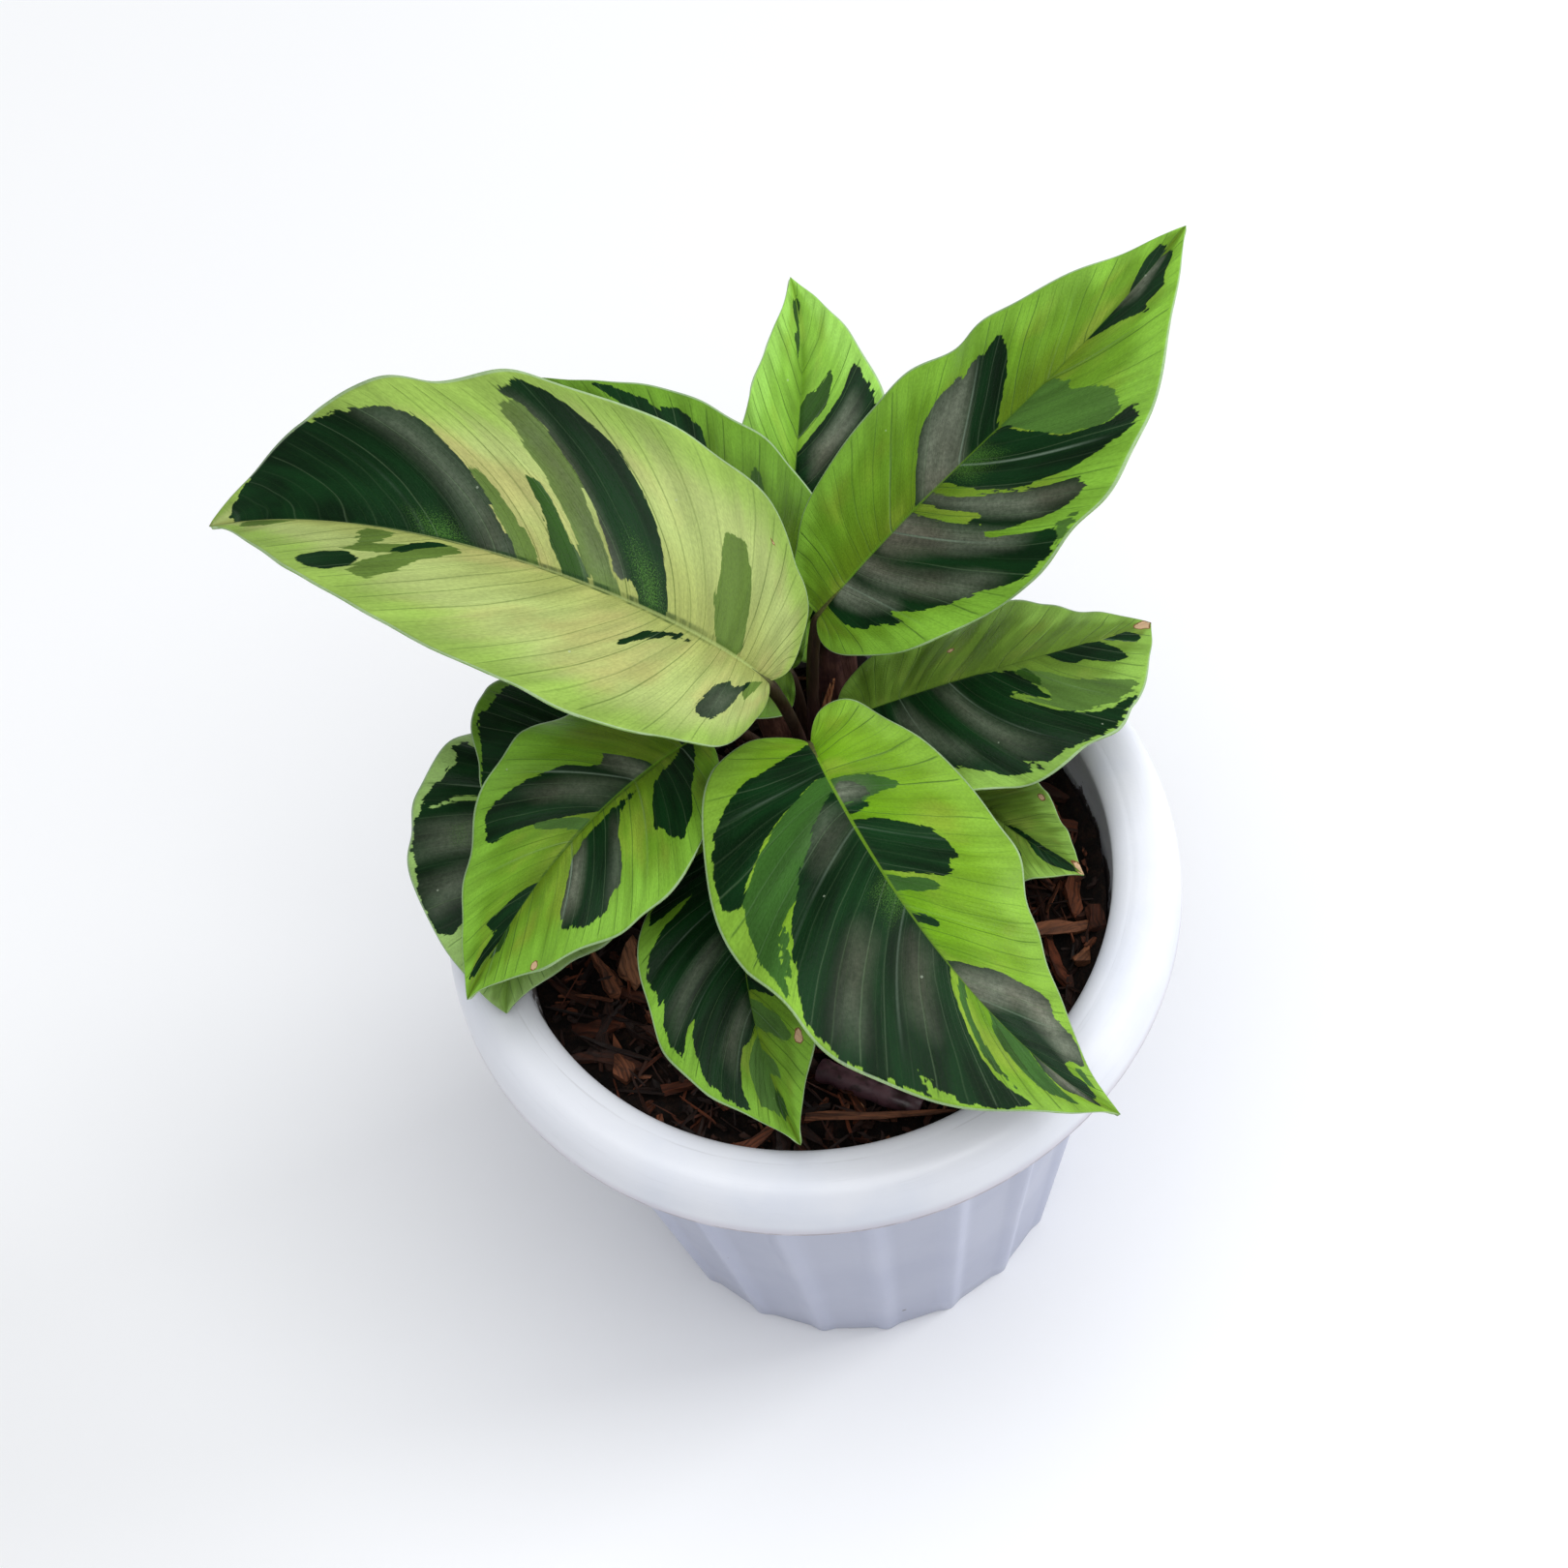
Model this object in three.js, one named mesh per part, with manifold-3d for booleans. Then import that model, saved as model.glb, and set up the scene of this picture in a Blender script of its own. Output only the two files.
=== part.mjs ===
// A young prayer plant with yellow-green, dark-splashed leaves, in a ribbed plastic pot.
// Millimetres, +Z up; the origin is the middle of the pot's flat base.
import * as THREE from 'three';
import { mergeVertices } from 'three/addons/utils/BufferGeometryUtils.js';
import Module from 'manifold-3d';

const wasm = await Module();
wasm.setup();

// Driving dimensions

const gap = 0.3; // room between pieces that touch on the real plant

const potHeight = 118;
const rimRadius = 65;
const mouthRadius = 53; // inner edge of the rim
const rimDepth = 10; // from the top of the rim down to the body
const rimShoulder = 59; // radius where the rim is highest
const rimEdgeDrop = 2.4; // the mouth's edge lies this much lower
const rimUnderCut = 1.2; // the rim's lower edge hangs this much below the body's top
const rimFlange = 0.6;
const rimCurveSteps = 5;
const bodyTopRadius = 56; // flat panels, just under the rim
const bodyBaseRadius = 41.5;
const potWall = 2.8;
const floorThickness = 3;
const baseChamfer = 1.2;

const ribCount = 20;
const ribHeight = 1.8; // how far a rib stands out from the panels
const ribHalfAngle = THREE.MathUtils.degToRad(3.6);
const ribFade = 3; // the ribs sink into the body over this height, under the rim
const ribColumns = [-1, -0.5, 0, 0.5, 1]; // shares of the rib's half angle

const drainHoleCount = 6;
const drainHoleRadius = 3.5;
const drainRingRadius = 25;
const drainHoleSides = 12;

const soilLevel = 99;
const swellHeight = 1.1;
const broadSwell = 9; // the soil's swells repeat about every six times this length
const fineSwell = 4;
const fineSwellShare = 0.4;
const chipCount = 48;
const chipLength = [7, 20];
const chipWidth = [2.4, 6];
const chipThickness = [1.6, 2.8];
const chipSlant = [-0.3, 0.3]; // how far its long sides lean, as a share of its width
const chipNarrowEnd = [0.4, 0.9];
const chipRoll = [-0.3, 0.3]; // radians
const chipPitch = [-0.1, 0.1];
const chipStandOut = 0.15; // a chip's middle lies this share of its thickness above the soil
const chipRoom = 0.5;
const plainChip = { thickness: 2, slant: 0.2, narrow: 0.6, roll: 0.15, pitch: 0.04 };
const placedChips = [
  { x: -39, y: -5, bearing: 1.8, length: 10, width: 4 },
  { x: -34, y: -4, bearing: 1.7, length: 8, width: 3.5 },
  { x: 44, y: -13, bearing: -0.2, length: 10, width: 4.2 },
  { x: 44, y: 4, bearing: -0.4, length: 9, width: 4.5 },
  { x: 34, y: -24, bearing: 2.1, length: 13, width: 4 },
];
const soilGap = 0.6; // to the pot's wall, whose inside has flat panels
const soilRings = 5;
const soilSegments = 30;

const stubRadius = 2.6; // a cut piece of old stalk that lies on the soil
const stubSteps = 4;
const stubBedReach = 0.08; // its bed in the soil is longer by this share
const stubHalfLength = 9;
const stubPath = [[-4, -31, 101.2], [3, -36, 102], [11, -41, 101.2]];

const crownX = 3;
const crownY = 24;
const crownTop = 108;
const crownRadius = 9;
const crownNeck = 0.6; // the share of its radius at the crown's foot and under its top
const crownFoot = 5; // height of the taper at its foot
const crownSides = 16;
const crownGap = 0.4;
const crownHoleSides = 24;
const crownDepth = 24; // how deep the crown stands in its hole in the soil

const bladeThickness = 0.75;
const bladeCurl = 0.1; // how far the margins droop, as a share of the half width
const midribDepth = 1.3; // the midrib's ridge under the blade, at the base
const midribTaper = 0.8; // the share of it that is gone at the tip

const stalkRadius = 1.3;
const stalkSides = 8;
const stalkSteps = 9;
const stalkSeat = 0.06; // the stalk ends under this share of the midrib
const stalkRise = 0.4; // how straight it starts, as a share of its length
const stalkTurn = 0.25; // how early it turns into the midrib's direction

// The veins of a blade are counted from its base, 0, to its tip, 1
const shoulderVein = 0.4; // the vein that ends at the widest place of the margin
const veinCrowding = 1.7; // how the veins' roots crowd towards the base
const veinBend = 0.45; // how far a vein bends towards the tip
const lobeRise = 0.3; // how the margin turns from the lobe to the widest place
const tipShoulder = 0.88; // where the margin turns into the tip

// Each blade's midrib runs through four points. Every other value is a pair, left and right of the
// midrib, seen from the base with the face up: half, the half width; fold, how many degrees the half
// is lifted; widest and full, where along the midrib the margin is widest and how long it stays so;
// tip, how blunt the tip is; lobe, how far the base reaches back; wave, the height, count and phase
// of the margin's waves. Roll turns the blade about its midrib, at the base and at the tip.
const blades = {
  blade_left_high: {
    rib: [[-1, 12, 160], [-21, 24, 172], [-54, 42, 176], [-91, 60, 164]],
    half: [29, 32], fold: [20, 20], roll: [0, 0], widest: [0.36, 0.48], full: [0.38, 0.36],
    tip: [0.12, 0.5], lobe: [0.02, 0.04], wave: [[1.8, 2.5, 0.44], [1.4, 3, 0.1]],
    root: [-3, -2], large: true,
  },
  blade_right_high: {
    rib: [[9, 30, 150], [31, 37, 170], [53, 43, 188], [78, 60, 198]],
    half: [21, 27], fold: [6, 6], roll: [-3, 3], widest: [0.31, 0.45], full: [0.31, 0.22],
    tip: [0.37, 0.24], lobe: [0, 0.06], wave: [[1.1, 3, 0.05], [1.4, 3, 0.7]],
    root: [2, 3], large: true,
  },
  blade_back: {
    rib: [[9, 39, 126], [8, 58, 139], [13, 76, 150], [15, 97, 158]],
    half: [11.5, 17], fold: [12, 12], roll: [10, 10], widest: [0.38, 0.42], full: [0.35, 0.38],
    tip: [0.35, 0.29], lobe: [0.05, 0.05], wave: [[1, 3, 0.38], [1.1, 3, -0.36]],
    root: [3, 5],
  },
  blade_back_left: {
    rib: [[3, 33, 130], [-6, 44, 147], [-18, 65, 156], [-33, 88, 154]],
    half: [22, 22.5], fold: [10, 10], roll: [5, 8], widest: [0.38, 0.42], full: [0.36, 0.3],
    tip: [0.25, 0.08], lobe: [0.05, 0.05], wave: [[1, 3, 0], [1, 3, 0.13]],
    root: [0, 4], large: true,
  },
  blade_right: {
    rib: [[12, 19, 134], [28, 19, 139], [46, 20, 141], [66, 26, 136]],
    half: [16, 22.5], fold: [-8, -4], roll: [-7, -7], widest: [0.34, 0.44], full: [0.43, 0.38],
    tip: [0.5, 0.4], lobe: [0.07, 0.05], wave: [[1.1, 3, 0.39], [1.3, 3, 0.46]],
    root: [4, -2],
  },
  blade_front_right: {
    rib: [[4, 5, 150], [13, -27, 154], [26, -50, 146], [43, -62, 130]],
    half: [24, 27.5], fold: [-5, -5], roll: [-12, -12], widest: [0.25, 0.34], full: [0.33, 0.25],
    tip: [0.3, 0.04], lobe: [0.15, 0.07], wave: [[0.7, 3, -0.16], [2.1, 3, -0.18]],
    root: [1, -4], large: true,
  },
  blade_front_left: {
    rib: [[-14, 15, 143], [-29, 3, 148], [-44, -9, 145], [-60, -22, 132]],
    half: [19.5, 20.5], fold: [8, 8], roll: [0, 0], widest: [0.46, 0.36], full: [0.34, 0.3],
    tip: [0.2, 0.34], lobe: [0, 0.04], wave: [[1.5, 3, 0.26], [1.3, 3, -0.21]],
    root: [-4, -1],
  },
  blade_front: {
    rib: [[-13, 5, 126], [-13, -18, 132], [-13, -36, 131], [-9, -55, 124]],
    half: [16, 18], fold: [10, 10], roll: [8, 8], widest: [0.34, 0.44], full: [0.34, 0.37],
    tip: [0.22, 0.2], lobe: [0.05, 0.01], wave: [[1.1, 3, 0.22], [1.2, 3, 0.26]],
    root: [-3, -5],
  },
  blade_right_low: {
    rib: [[25, 20, 112], [33, 5, 117], [39, -3, 118], [47, -10, 116]],
    half: [9.5, 10.5], fold: [12, 12], roll: [3, 3], widest: [0.36, 0.42], full: [0.37, 0.38],
    tip: [0.34, 0.25], lobe: [0.05, 0.05], wave: [[1, 3, -0.18], [1, 3, 0]],
    root: [6, 0],
  },
  blade_left_low: {
    rib: [[-29, 28, 122], [-41, 9, 128], [-50, -6, 127], [-55, -20, 121]],
    half: [24, 29], fold: [10, 10], roll: [5, 10], widest: [0.35, 0.3], full: [0.34, 0.26],
    tip: [0.2, 0.3], lobe: [0.05, 0.06], wave: [[1.1, 3, -0.13], [1.6, 3, 0.19]],
    root: [-6, 1],
  },
  blade_left_inner: {
    rib: [[-23, 29, 131], [-35, 18, 136], [-43, 10, 135], [-50, 2, 130]],
    half: [17, 24], fold: [10, 10], roll: [5, 5], widest: [0.38, 0.28], full: [0.36, 0.22],
    tip: [0.25, 0.18], lobe: [0.05, 0.05], wave: [[1, 3, 0], [1.2, 3, -0.18]],
    root: [-4, 3],
  },
};

// Shared helpers

const point = (x, y, z) => new THREE.Vector3(x, y, z);
const up = point(0, 0, 1);

function seededRandom(seed) {
  let state = seed;
  return () => {
    state = (state * 1664525 + 1013904223) % 4294967296;
    return state / 4294967296;
  };
}

// Joins the corners that lie on each other and drops the triangles that this closes up
function welded(geometry) {
  const bare = geometry.clone();
  bare.deleteAttribute('normal');
  bare.deleteAttribute('uv');
  const merged = mergeVertices(bare, 1e-4);
  const corners = Array.from(merged.index.array);
  const kept = [];
  for (let i = 0; i < corners.length; i += 3) {
    const [a, b, c] = corners.slice(i, i + 3);
    if (a !== b && b !== c && c !== a) kept.push(a, b, c);
  }
  merged.setIndex(kept);
  return merged;
}

function toSolid(geometry) {
  const closed = welded(geometry);
  return new wasm.Manifold(new wasm.Mesh({
    numProp: 3,
    vertProperties: new Float32Array(closed.attributes.position.array),
    triVerts: new Uint32Array(closed.index.array),
  }));
}

function toGeometry(solid) {
  const mesh = solid.getMesh();
  const geometry = new THREE.BufferGeometry();
  geometry.setAttribute('position', new THREE.BufferAttribute(mesh.vertProperties, 3));
  geometry.setIndex(new THREE.BufferAttribute(mesh.triVerts, 1));
  return geometry;
}

// An upright cylinder between two heights
function post(radius, bottom, top, sides) {
  const geometry = new THREE.CylinderGeometry(radius, radius, top - bottom, sides);
  geometry.rotateX(Math.PI / 2);
  geometry.translate(0, 0, (top + bottom) / 2);
  return geometry;
}

function tube(curve, radius, steps, sides) {
  const section = new THREE.Shape();
  for (let i = 0; i < sides; i++) {
    const angle = (2 * Math.PI * i) / sides;
    const corner = [radius * Math.cos(angle), radius * Math.sin(angle)];
    if (i === 0) section.moveTo(...corner);
    else section.lineTo(...corner);
  }
  return new THREE.ExtrudeGeometry(section, { extrudePath: curve, steps, bevelEnabled: false });
}

// Pot: one moulding, ribbed outside, with a broad rolled rim and holes in its floor

const rimBottom = potHeight - rimDepth;

function panelRadius(height) {
  return THREE.MathUtils.mapLinear(height, 0, rimBottom, bodyBaseRadius, bodyTopRadius);
}

function innerRadius(height) {
  return panelRadius(Math.min(height, rimBottom)) - potWall;
}

function potGeometry() {
  const outline = new THREE.Path();
  outline.moveTo(0, 0);
  outline.lineTo(bodyBaseRadius - baseChamfer, 0);
  outline.lineTo(panelRadius(baseChamfer), baseChamfer);
  outline.lineTo(panelRadius(rimBottom - ribFade), rimBottom - ribFade);
  const ribbedUpTo = 3; // the outline's points from the base's edge to here carry the ribs
  outline.lineTo(bodyTopRadius, rimBottom);
  outline.lineTo(rimRadius - rimFlange, rimBottom - rimUnderCut);
  outline.lineTo(rimRadius, rimBottom);
  outline.quadraticCurveTo(rimRadius, potHeight, rimShoulder, potHeight);
  outline.quadraticCurveTo(mouthRadius + rimEdgeDrop / 2, potHeight, mouthRadius, potHeight - rimEdgeDrop);
  outline.lineTo(innerRadius(rimBottom), rimBottom);
  outline.lineTo(innerRadius(floorThickness), floorThickness);
  outline.lineTo(0, floorThickness);
  const profile = outline.getPoints(rimCurveSteps);
  const columnCount = ribCount * ribColumns.length;
  const lathe = new THREE.LatheGeometry(profile, columnCount);
  const position = lathe.attributes.position;
  for (let i = 0; i < position.count; i++) {
    const column = Math.floor(i / profile.length);
    const row = i % profile.length;
    const share = ribColumns[column % ribColumns.length];
    const ribbed = row >= 1 && row <= ribbedUpTo;
    const bulge = ribbed ? ribHeight * Math.cos((share * Math.PI) / 2) : 0;
    const radius = profile[row].x === 0 ? 0 : profile[row].x + bulge;
    const rib = Math.floor(column / ribColumns.length);
    const angle = (2 * Math.PI * rib) / ribCount + share * ribHalfAngle;
    position.setXYZ(i, radius * Math.sin(angle), profile[row].y, radius * Math.cos(angle));
  }
  lathe.rotateX(Math.PI / 2);
  let solid = toSolid(lathe);
  for (let i = 0; i < drainHoleCount; i++) {
    const angle = (2 * Math.PI * i) / drainHoleCount;
    const hole = post(drainHoleRadius, -floorThickness, 2 * floorThickness, drainHoleSides);
    hole.translate(drainRingRadius * Math.cos(angle), drainRingRadius * Math.sin(angle), 0);
    solid = solid.subtract(toSolid(hole));
  }
  return toGeometry(solid);
}

// Soil: coarse compost with bark chips bedded in its top, and a plain hole for the crown

function soilSwell(x, y) {
  const broad = Math.sin((x + y / 2) / broadSwell) * Math.cos((y - x / 2) / broadSwell);
  const fine = Math.sin((x + y) / fineSwell);
  return swellHeight * (broad + fineSwellShare * fine);
}

function soilBody() {
  const floor = floorThickness + gap;
  const topRadius = innerRadius(soilLevel) - soilGap;
  const profile = [new THREE.Vector2(0, floor), new THREE.Vector2(innerRadius(floor) - soilGap, floor)];
  for (let ring = soilRings; ring >= 0; ring--) {
    profile.push(new THREE.Vector2((topRadius * ring) / soilRings, soilLevel));
  }
  const lathe = new THREE.LatheGeometry(profile, soilSegments);
  lathe.rotateX(Math.PI / 2);
  const position = lathe.attributes.position;
  for (let i = 0; i < position.count; i++) {
    const [x, y] = [position.getX(i), position.getY(i)];
    const inside = position.getZ(i) > floor && Math.hypot(x, y) < topRadius - 1;
    if (inside) position.setZ(i, soilLevel + soilSwell(x, y));
  }
  return toSolid(lathe);
}

// A slanted, tapered splinter that lies along its bearing, half bedded in the soil
function chipSolid({ x, y, bearing, length, width, thickness, slant, narrow, roll, pitch }) {
  const chip = new THREE.BoxGeometry(length, width, thickness);
  const position = chip.attributes.position;
  for (let i = 0; i < position.count; i++) {
    const end = position.getX(i) > 0 ? narrow : 1;
    position.setX(i, position.getX(i) + slant * position.getY(i));
    position.setY(i, position.getY(i) * end);
  }
  chip.rotateX(roll);
  chip.rotateY(pitch);
  chip.rotateZ(bearing);
  chip.translate(x, y, soilLevel + soilSwell(x, y) + thickness * chipStandOut);
  return toSolid(chip);
}

// A chip may not reach the pot's wall, the crown's hole or the old stalk's bed
function chipFits(x, y, length) {
  const reach = length / 2 + chipRoom;
  const stubMiddle = stubCurve.getPoint(0.5);
  return Math.hypot(x, y) + reach < innerRadius(soilLevel) - soilGap
    && Math.hypot(x - crownX, y - crownY) - reach > crownRadius + crownGap
    && Math.hypot(x - stubMiddle.x, y - stubMiddle.y) - reach > stubHalfLength;
}

function drawnChip(random) {
  const between = ([low, high]) => low + (high - low) * random();
  const half = innerRadius(soilLevel);
  const chip = {
    x: between([-half, half]),
    y: between([-half, half]),
    bearing: between([0, Math.PI]),
    length: between(chipLength),
    width: between(chipWidth),
    thickness: between(chipThickness),
    slant: between(chipSlant),
    narrow: between(chipNarrowEnd),
    roll: between(chipRoll),
    pitch: between(chipPitch),
  };
  return chipFits(chip.x, chip.y, chip.length) ? chip : drawnChip(random);
}

const stubCurve = new THREE.QuadraticBezierCurve3(...stubPath.map((p) => point(...p)));

// The same curve, a little longer at both ends
function stubBedCurve() {
  const [start, middle, end] = stubPath.map((p) => point(...p));
  start.lerp(middle, -stubBedReach);
  end.lerp(middle, -stubBedReach);
  return new THREE.QuadraticBezierCurve3(start, middle, end);
}

function soilGeometry() {
  const random = seededRandom(7);
  let solid = soilBody();
  for (const chip of placedChips) solid = solid.add(chipSolid({ ...plainChip, ...chip }));
  for (let i = 0; i < chipCount; i++) solid = solid.add(chipSolid(drawnChip(random)));
  const crownHole = post(crownRadius + crownGap, soilLevel - crownDepth - gap, crownTop, crownHoleSides);
  crownHole.translate(crownX, crownY, 0);
  const stubBed = tube(stubBedCurve(), stubRadius + gap, stubSteps, stalkSides);
  return toGeometry(solid.subtract(toSolid(crownHole)).subtract(toSolid(stubBed)));
}

// Blades

function cubic(a, b, c, d, t) {
  const r = 1 - t;
  return r * r * r * a + 3 * r * r * t * b + 3 * r * t * t * c + t * t * t * d;
}

// The cubic curve that passes four points at even steps of its parameter
function curveThrough(points) {
  const [a, b, c, d] = points.map((p) => point(...p));
  const mix = (...weights) => {
    const sum = point(0, 0, 0);
    [a, b, c, d].forEach((p, i) => sum.addScaledVector(p, weights[i] / 6));
    return sum;
  };
  return new THREE.CubicBezierCurve3(a, mix(-5, 18, -9, 2), mix(2, -9, 18, -5), d);
}

// Where a vein meets the margin: along the midrib, and across it as a share of the half width
function marginPoint(blade, side, vein) {
  const [widest, full, tip, lobe] = [blade.widest, blade.full, blade.tip, blade.lobe].map((v) => v[side]);
  if (vein <= shoulderVein) {
    const t = vein / shoulderVein;
    return [cubic(0, -2 * lobe, widest - lobeRise, widest, t), cubic(0, 0.3, 1, 1, t)];
  }
  const t = (vein - shoulderVein) / (1 - shoulderVein);
  return [cubic(widest, widest + full, tipShoulder, 1, t), cubic(1, 1, tip, 0, t)];
}

// The midrib's point, direction, sideways and upward directions at a share of its length
function ribFrame(blade, share) {
  const curve = curveThrough(blade.rib);
  const u = THREE.MathUtils.clamp(share, 0, 1);
  const along = curve.getTangent(u);
  const origin = curve.getPoint(u);
  if (share < 0) origin.addScaledVector(along, share * curve.v0.distanceTo(curve.v3));
  const level = up.clone().cross(along).normalize();
  const roll = THREE.MathUtils.degToRad(THREE.MathUtils.lerp(blade.roll[0], blade.roll[1], u));
  const across = level.clone().applyAxisAngle(along, roll);
  return { origin, along, across, above: along.clone().cross(across) };
}

function bladePoint(blade, side, vein, across) {
  const [marginX, marginY] = marginPoint(blade, side, vein);
  const root = vein ** veinCrowding;
  const share = root + (marginX - root) * (across * (1 - veinBend) + veinBend * across * across);
  const frame = ribFrame(blade, share);
  const half = blade.half[side];
  const reach = half * marginY * across;
  const fold = THREE.MathUtils.degToRad(blade.fold[side]);
  const [waveHeight, waveCount, wavePhase] = blade.wave[side];
  const swing = Math.sin(2 * Math.PI * (waveCount * vein + wavePhase));
  const wave = waveHeight * marginY * across * across * swing;
  const lift = reach * Math.sin(fold) - (bladeCurl * reach * reach) / half + wave;
  const sign = side === 0 ? 1 : -1;
  return {
    place: frame.origin.addScaledVector(frame.across, sign * reach * Math.cos(fold))
      .addScaledVector(frame.above, lift),
    above: frame.above,
  };
}

function ridgeDepth(vein) {
  return midribDepth * (1 - midribTaper * vein);
}

function bladeGeometry(blade) {
  const veins = blade.large ? 15 : 12;
  const shares = blade.large ? [0, 0.06, 0.28, 0.52, 0.76, 1] : [0, 0.08, 0.36, 0.68, 1];
  const last = shares.length - 1;
  const columns = 2 * last + 1;
  const corners = { top: [], bottom: [] };
  for (let v = 0; v <= veins; v++) {
    for (let c = 0; c < columns; c++) {
      const side = c < last ? 0 : 1;
      const { place, above } = bladePoint(blade, side, v / veins, shares[Math.abs(c - last)]);
      const ridge = c === last ? ridgeDepth(v / veins) : 0;
      corners.top.push(place);
      corners.bottom.push(place.clone().addScaledVector(above, -bladeThickness - ridge));
    }
  }
  const all = [...corners.top, ...corners.bottom];
  const below = corners.top.length;
  const index = [];
  const quad = (a, b, c, d) => index.push(a, b, c, a, c, d);
  for (let v = 0; v < veins; v++) {
    for (let c = 0; c < columns - 1; c++) {
      const [a, b] = [v * columns + c, v * columns + c + 1];
      const [d, e] = [a + columns, b + columns];
      quad(a, b, e, d);
      index.push(...[a, e, b, a, d, e].map((corner) => corner + below));
    }
    const left = v * columns;
    const right = left + columns - 1;
    quad(left, left + columns, left + columns + below, left + below);
    quad(right, right + below, right + columns + below, right + columns);
  }
  const geometry = new THREE.BufferGeometry();
  geometry.setAttribute('position', new THREE.Float32BufferAttribute(all.flatMap((p) => p.toArray()), 3));
  geometry.setIndex(index);
  return welded(geometry);
}

// Crown and leaf stalks: one grown body; each stalk runs up under its blade's midrib

function stalkCurve(blade) {
  const start = ribFrame(blade, 0);
  const seat = ribFrame(blade, stalkSeat);
  const seatVein = stalkSeat ** (1 / veinCrowding);
  const below = ridgeDepth(seatVein) + bladeThickness + gap + stalkRadius;
  const top = seat.origin.clone().addScaledVector(seat.above, -below);
  const rootX = crownX + blade.root[0];
  const rootY = crownY + blade.root[1];
  const root = point(rootX, rootY, soilLevel);
  const rise = top.distanceTo(root);
  return new THREE.CubicBezierCurve3(
    root,
    root.clone().addScaledVector(up, rise * stalkRise),
    top.clone().addScaledVector(start.along, -rise * stalkTurn),
    top,
  );
}

function stemsGeometry() {
  const bottom = soilLevel - crownDepth;
  const outline = [
    [0, bottom], [crownRadius * crownNeck, bottom], [crownRadius, bottom + crownFoot],
    [crownRadius, soilLevel], [crownRadius * crownNeck, crownTop - 2], [0, crownTop],
  ];
  const crown = new THREE.LatheGeometry(outline.map((p) => new THREE.Vector2(...p)), crownSides);
  crown.rotateX(Math.PI / 2);
  crown.translate(crownX, crownY, 0);
  let solid = toSolid(crown);
  for (const blade of Object.values(blades)) {
    const curve = stalkCurve(blade);
    solid = solid.add(toSolid(tube(curve, stalkRadius, stalkSteps, stalkSides)));
  }
  return toGeometry(solid);
}

// The assembly

function finish(color, roughness) {
  return new THREE.MeshStandardMaterial({ color, roughness, metalness: 0 });
}

const plant = new THREE.Group();

function addPiece(name, geometry, material) {
  const piece = new THREE.Mesh(geometry, material);
  piece.name = name;
  plant.add(piece);
}

const whitePlastic = finish(0xe9ebf0, 0.45);
const darkCompost = finish(0x35231a, 0.95);
const purpleBrown = finish(0x4a3526, 0.6);
const yellowGreen = finish(0x8fb83a, 0.5);

addPiece('pot', potGeometry(), whitePlastic);
addPiece('soil', soilGeometry(), darkCompost);
addPiece('stalk_stub', tube(stubCurve, stubRadius, stubSteps, stalkSides), purpleBrown.clone());
addPiece('crown_and_stalks', stemsGeometry(), purpleBrown);
for (const [name, blade] of Object.entries(blades)) {
  addPiece(name, bladeGeometry(blade), yellowGreen.clone());
}

export default plant;
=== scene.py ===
# A young prayer plant with yellow-green, dark-splashed leaves, in a ribbed white plastic pot.
# Shape values are in millimetres, as on the solids; meshes are made in metres.
import math
import random
import bmesh
import bpy
import numpy as np
from mathutils import Matrix, Quaternion, Vector, noise


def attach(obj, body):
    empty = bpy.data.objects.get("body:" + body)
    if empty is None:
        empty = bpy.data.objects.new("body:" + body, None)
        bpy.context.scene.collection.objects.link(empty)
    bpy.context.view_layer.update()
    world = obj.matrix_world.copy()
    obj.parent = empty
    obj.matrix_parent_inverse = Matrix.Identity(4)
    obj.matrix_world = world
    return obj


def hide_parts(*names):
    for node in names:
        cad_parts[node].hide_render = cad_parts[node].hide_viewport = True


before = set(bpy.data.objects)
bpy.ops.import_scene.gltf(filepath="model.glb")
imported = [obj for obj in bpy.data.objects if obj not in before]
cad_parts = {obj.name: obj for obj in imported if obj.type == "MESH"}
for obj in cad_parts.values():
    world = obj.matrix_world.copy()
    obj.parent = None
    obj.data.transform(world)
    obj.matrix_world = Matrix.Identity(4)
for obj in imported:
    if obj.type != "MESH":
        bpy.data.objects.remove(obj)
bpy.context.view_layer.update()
mm = 0.001
up = Vector((0, 0, 1))


# Material helpers

def tint(red, green, blue):
    # screen colour, 0 to 255, as the linear colour that a shader wants
    linear = []
    for value in (red / 255, green / 255, blue / 255):
        linear.append(value / 12.92 if value <= 0.04045 else ((value + 0.055) / 1.055) ** 2.4)
    return (*linear, 1)


def newMaterial(name):
    material = bpy.data.materials.new(name)
    material.use_nodes = True
    material.node_tree.nodes.clear()
    return material, material.node_tree


def feed(tree, socket, value):
    if isinstance(value, bpy.types.NodeSocket):
        tree.links.new(value, socket)
    elif socket.type == "VECTOR":
        socket.default_value = value[:3]
    else:
        socket.default_value = value


def addNode(tree, kind, inputs=None, **settings):
    node = tree.nodes.new("ShaderNode" + kind)
    for key, value in settings.items():
        setattr(node, key, value)
    for key, value in (inputs or {}).items():
        feed(tree, node.inputs[key], value)
    return node


def calc(tree, operation, *values):
    return addNode(tree, "Math", dict(enumerate(values)), operation=operation).outputs[0]


def times(tree, first, second):
    return calc(tree, "MULTIPLY", first, second)


def plus(tree, first, second):
    return calc(tree, "ADD", first, second)


def minus(tree, first, second):
    return calc(tree, "SUBTRACT", first, second)


def absolute(tree, value):
    # the value without its sign
    return calc(tree, "ABSOLUTE", value)


def readAttribute(tree, name):
    return addNode(tree, "Attribute", attribute_name=name).outputs["Fac"]


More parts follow.
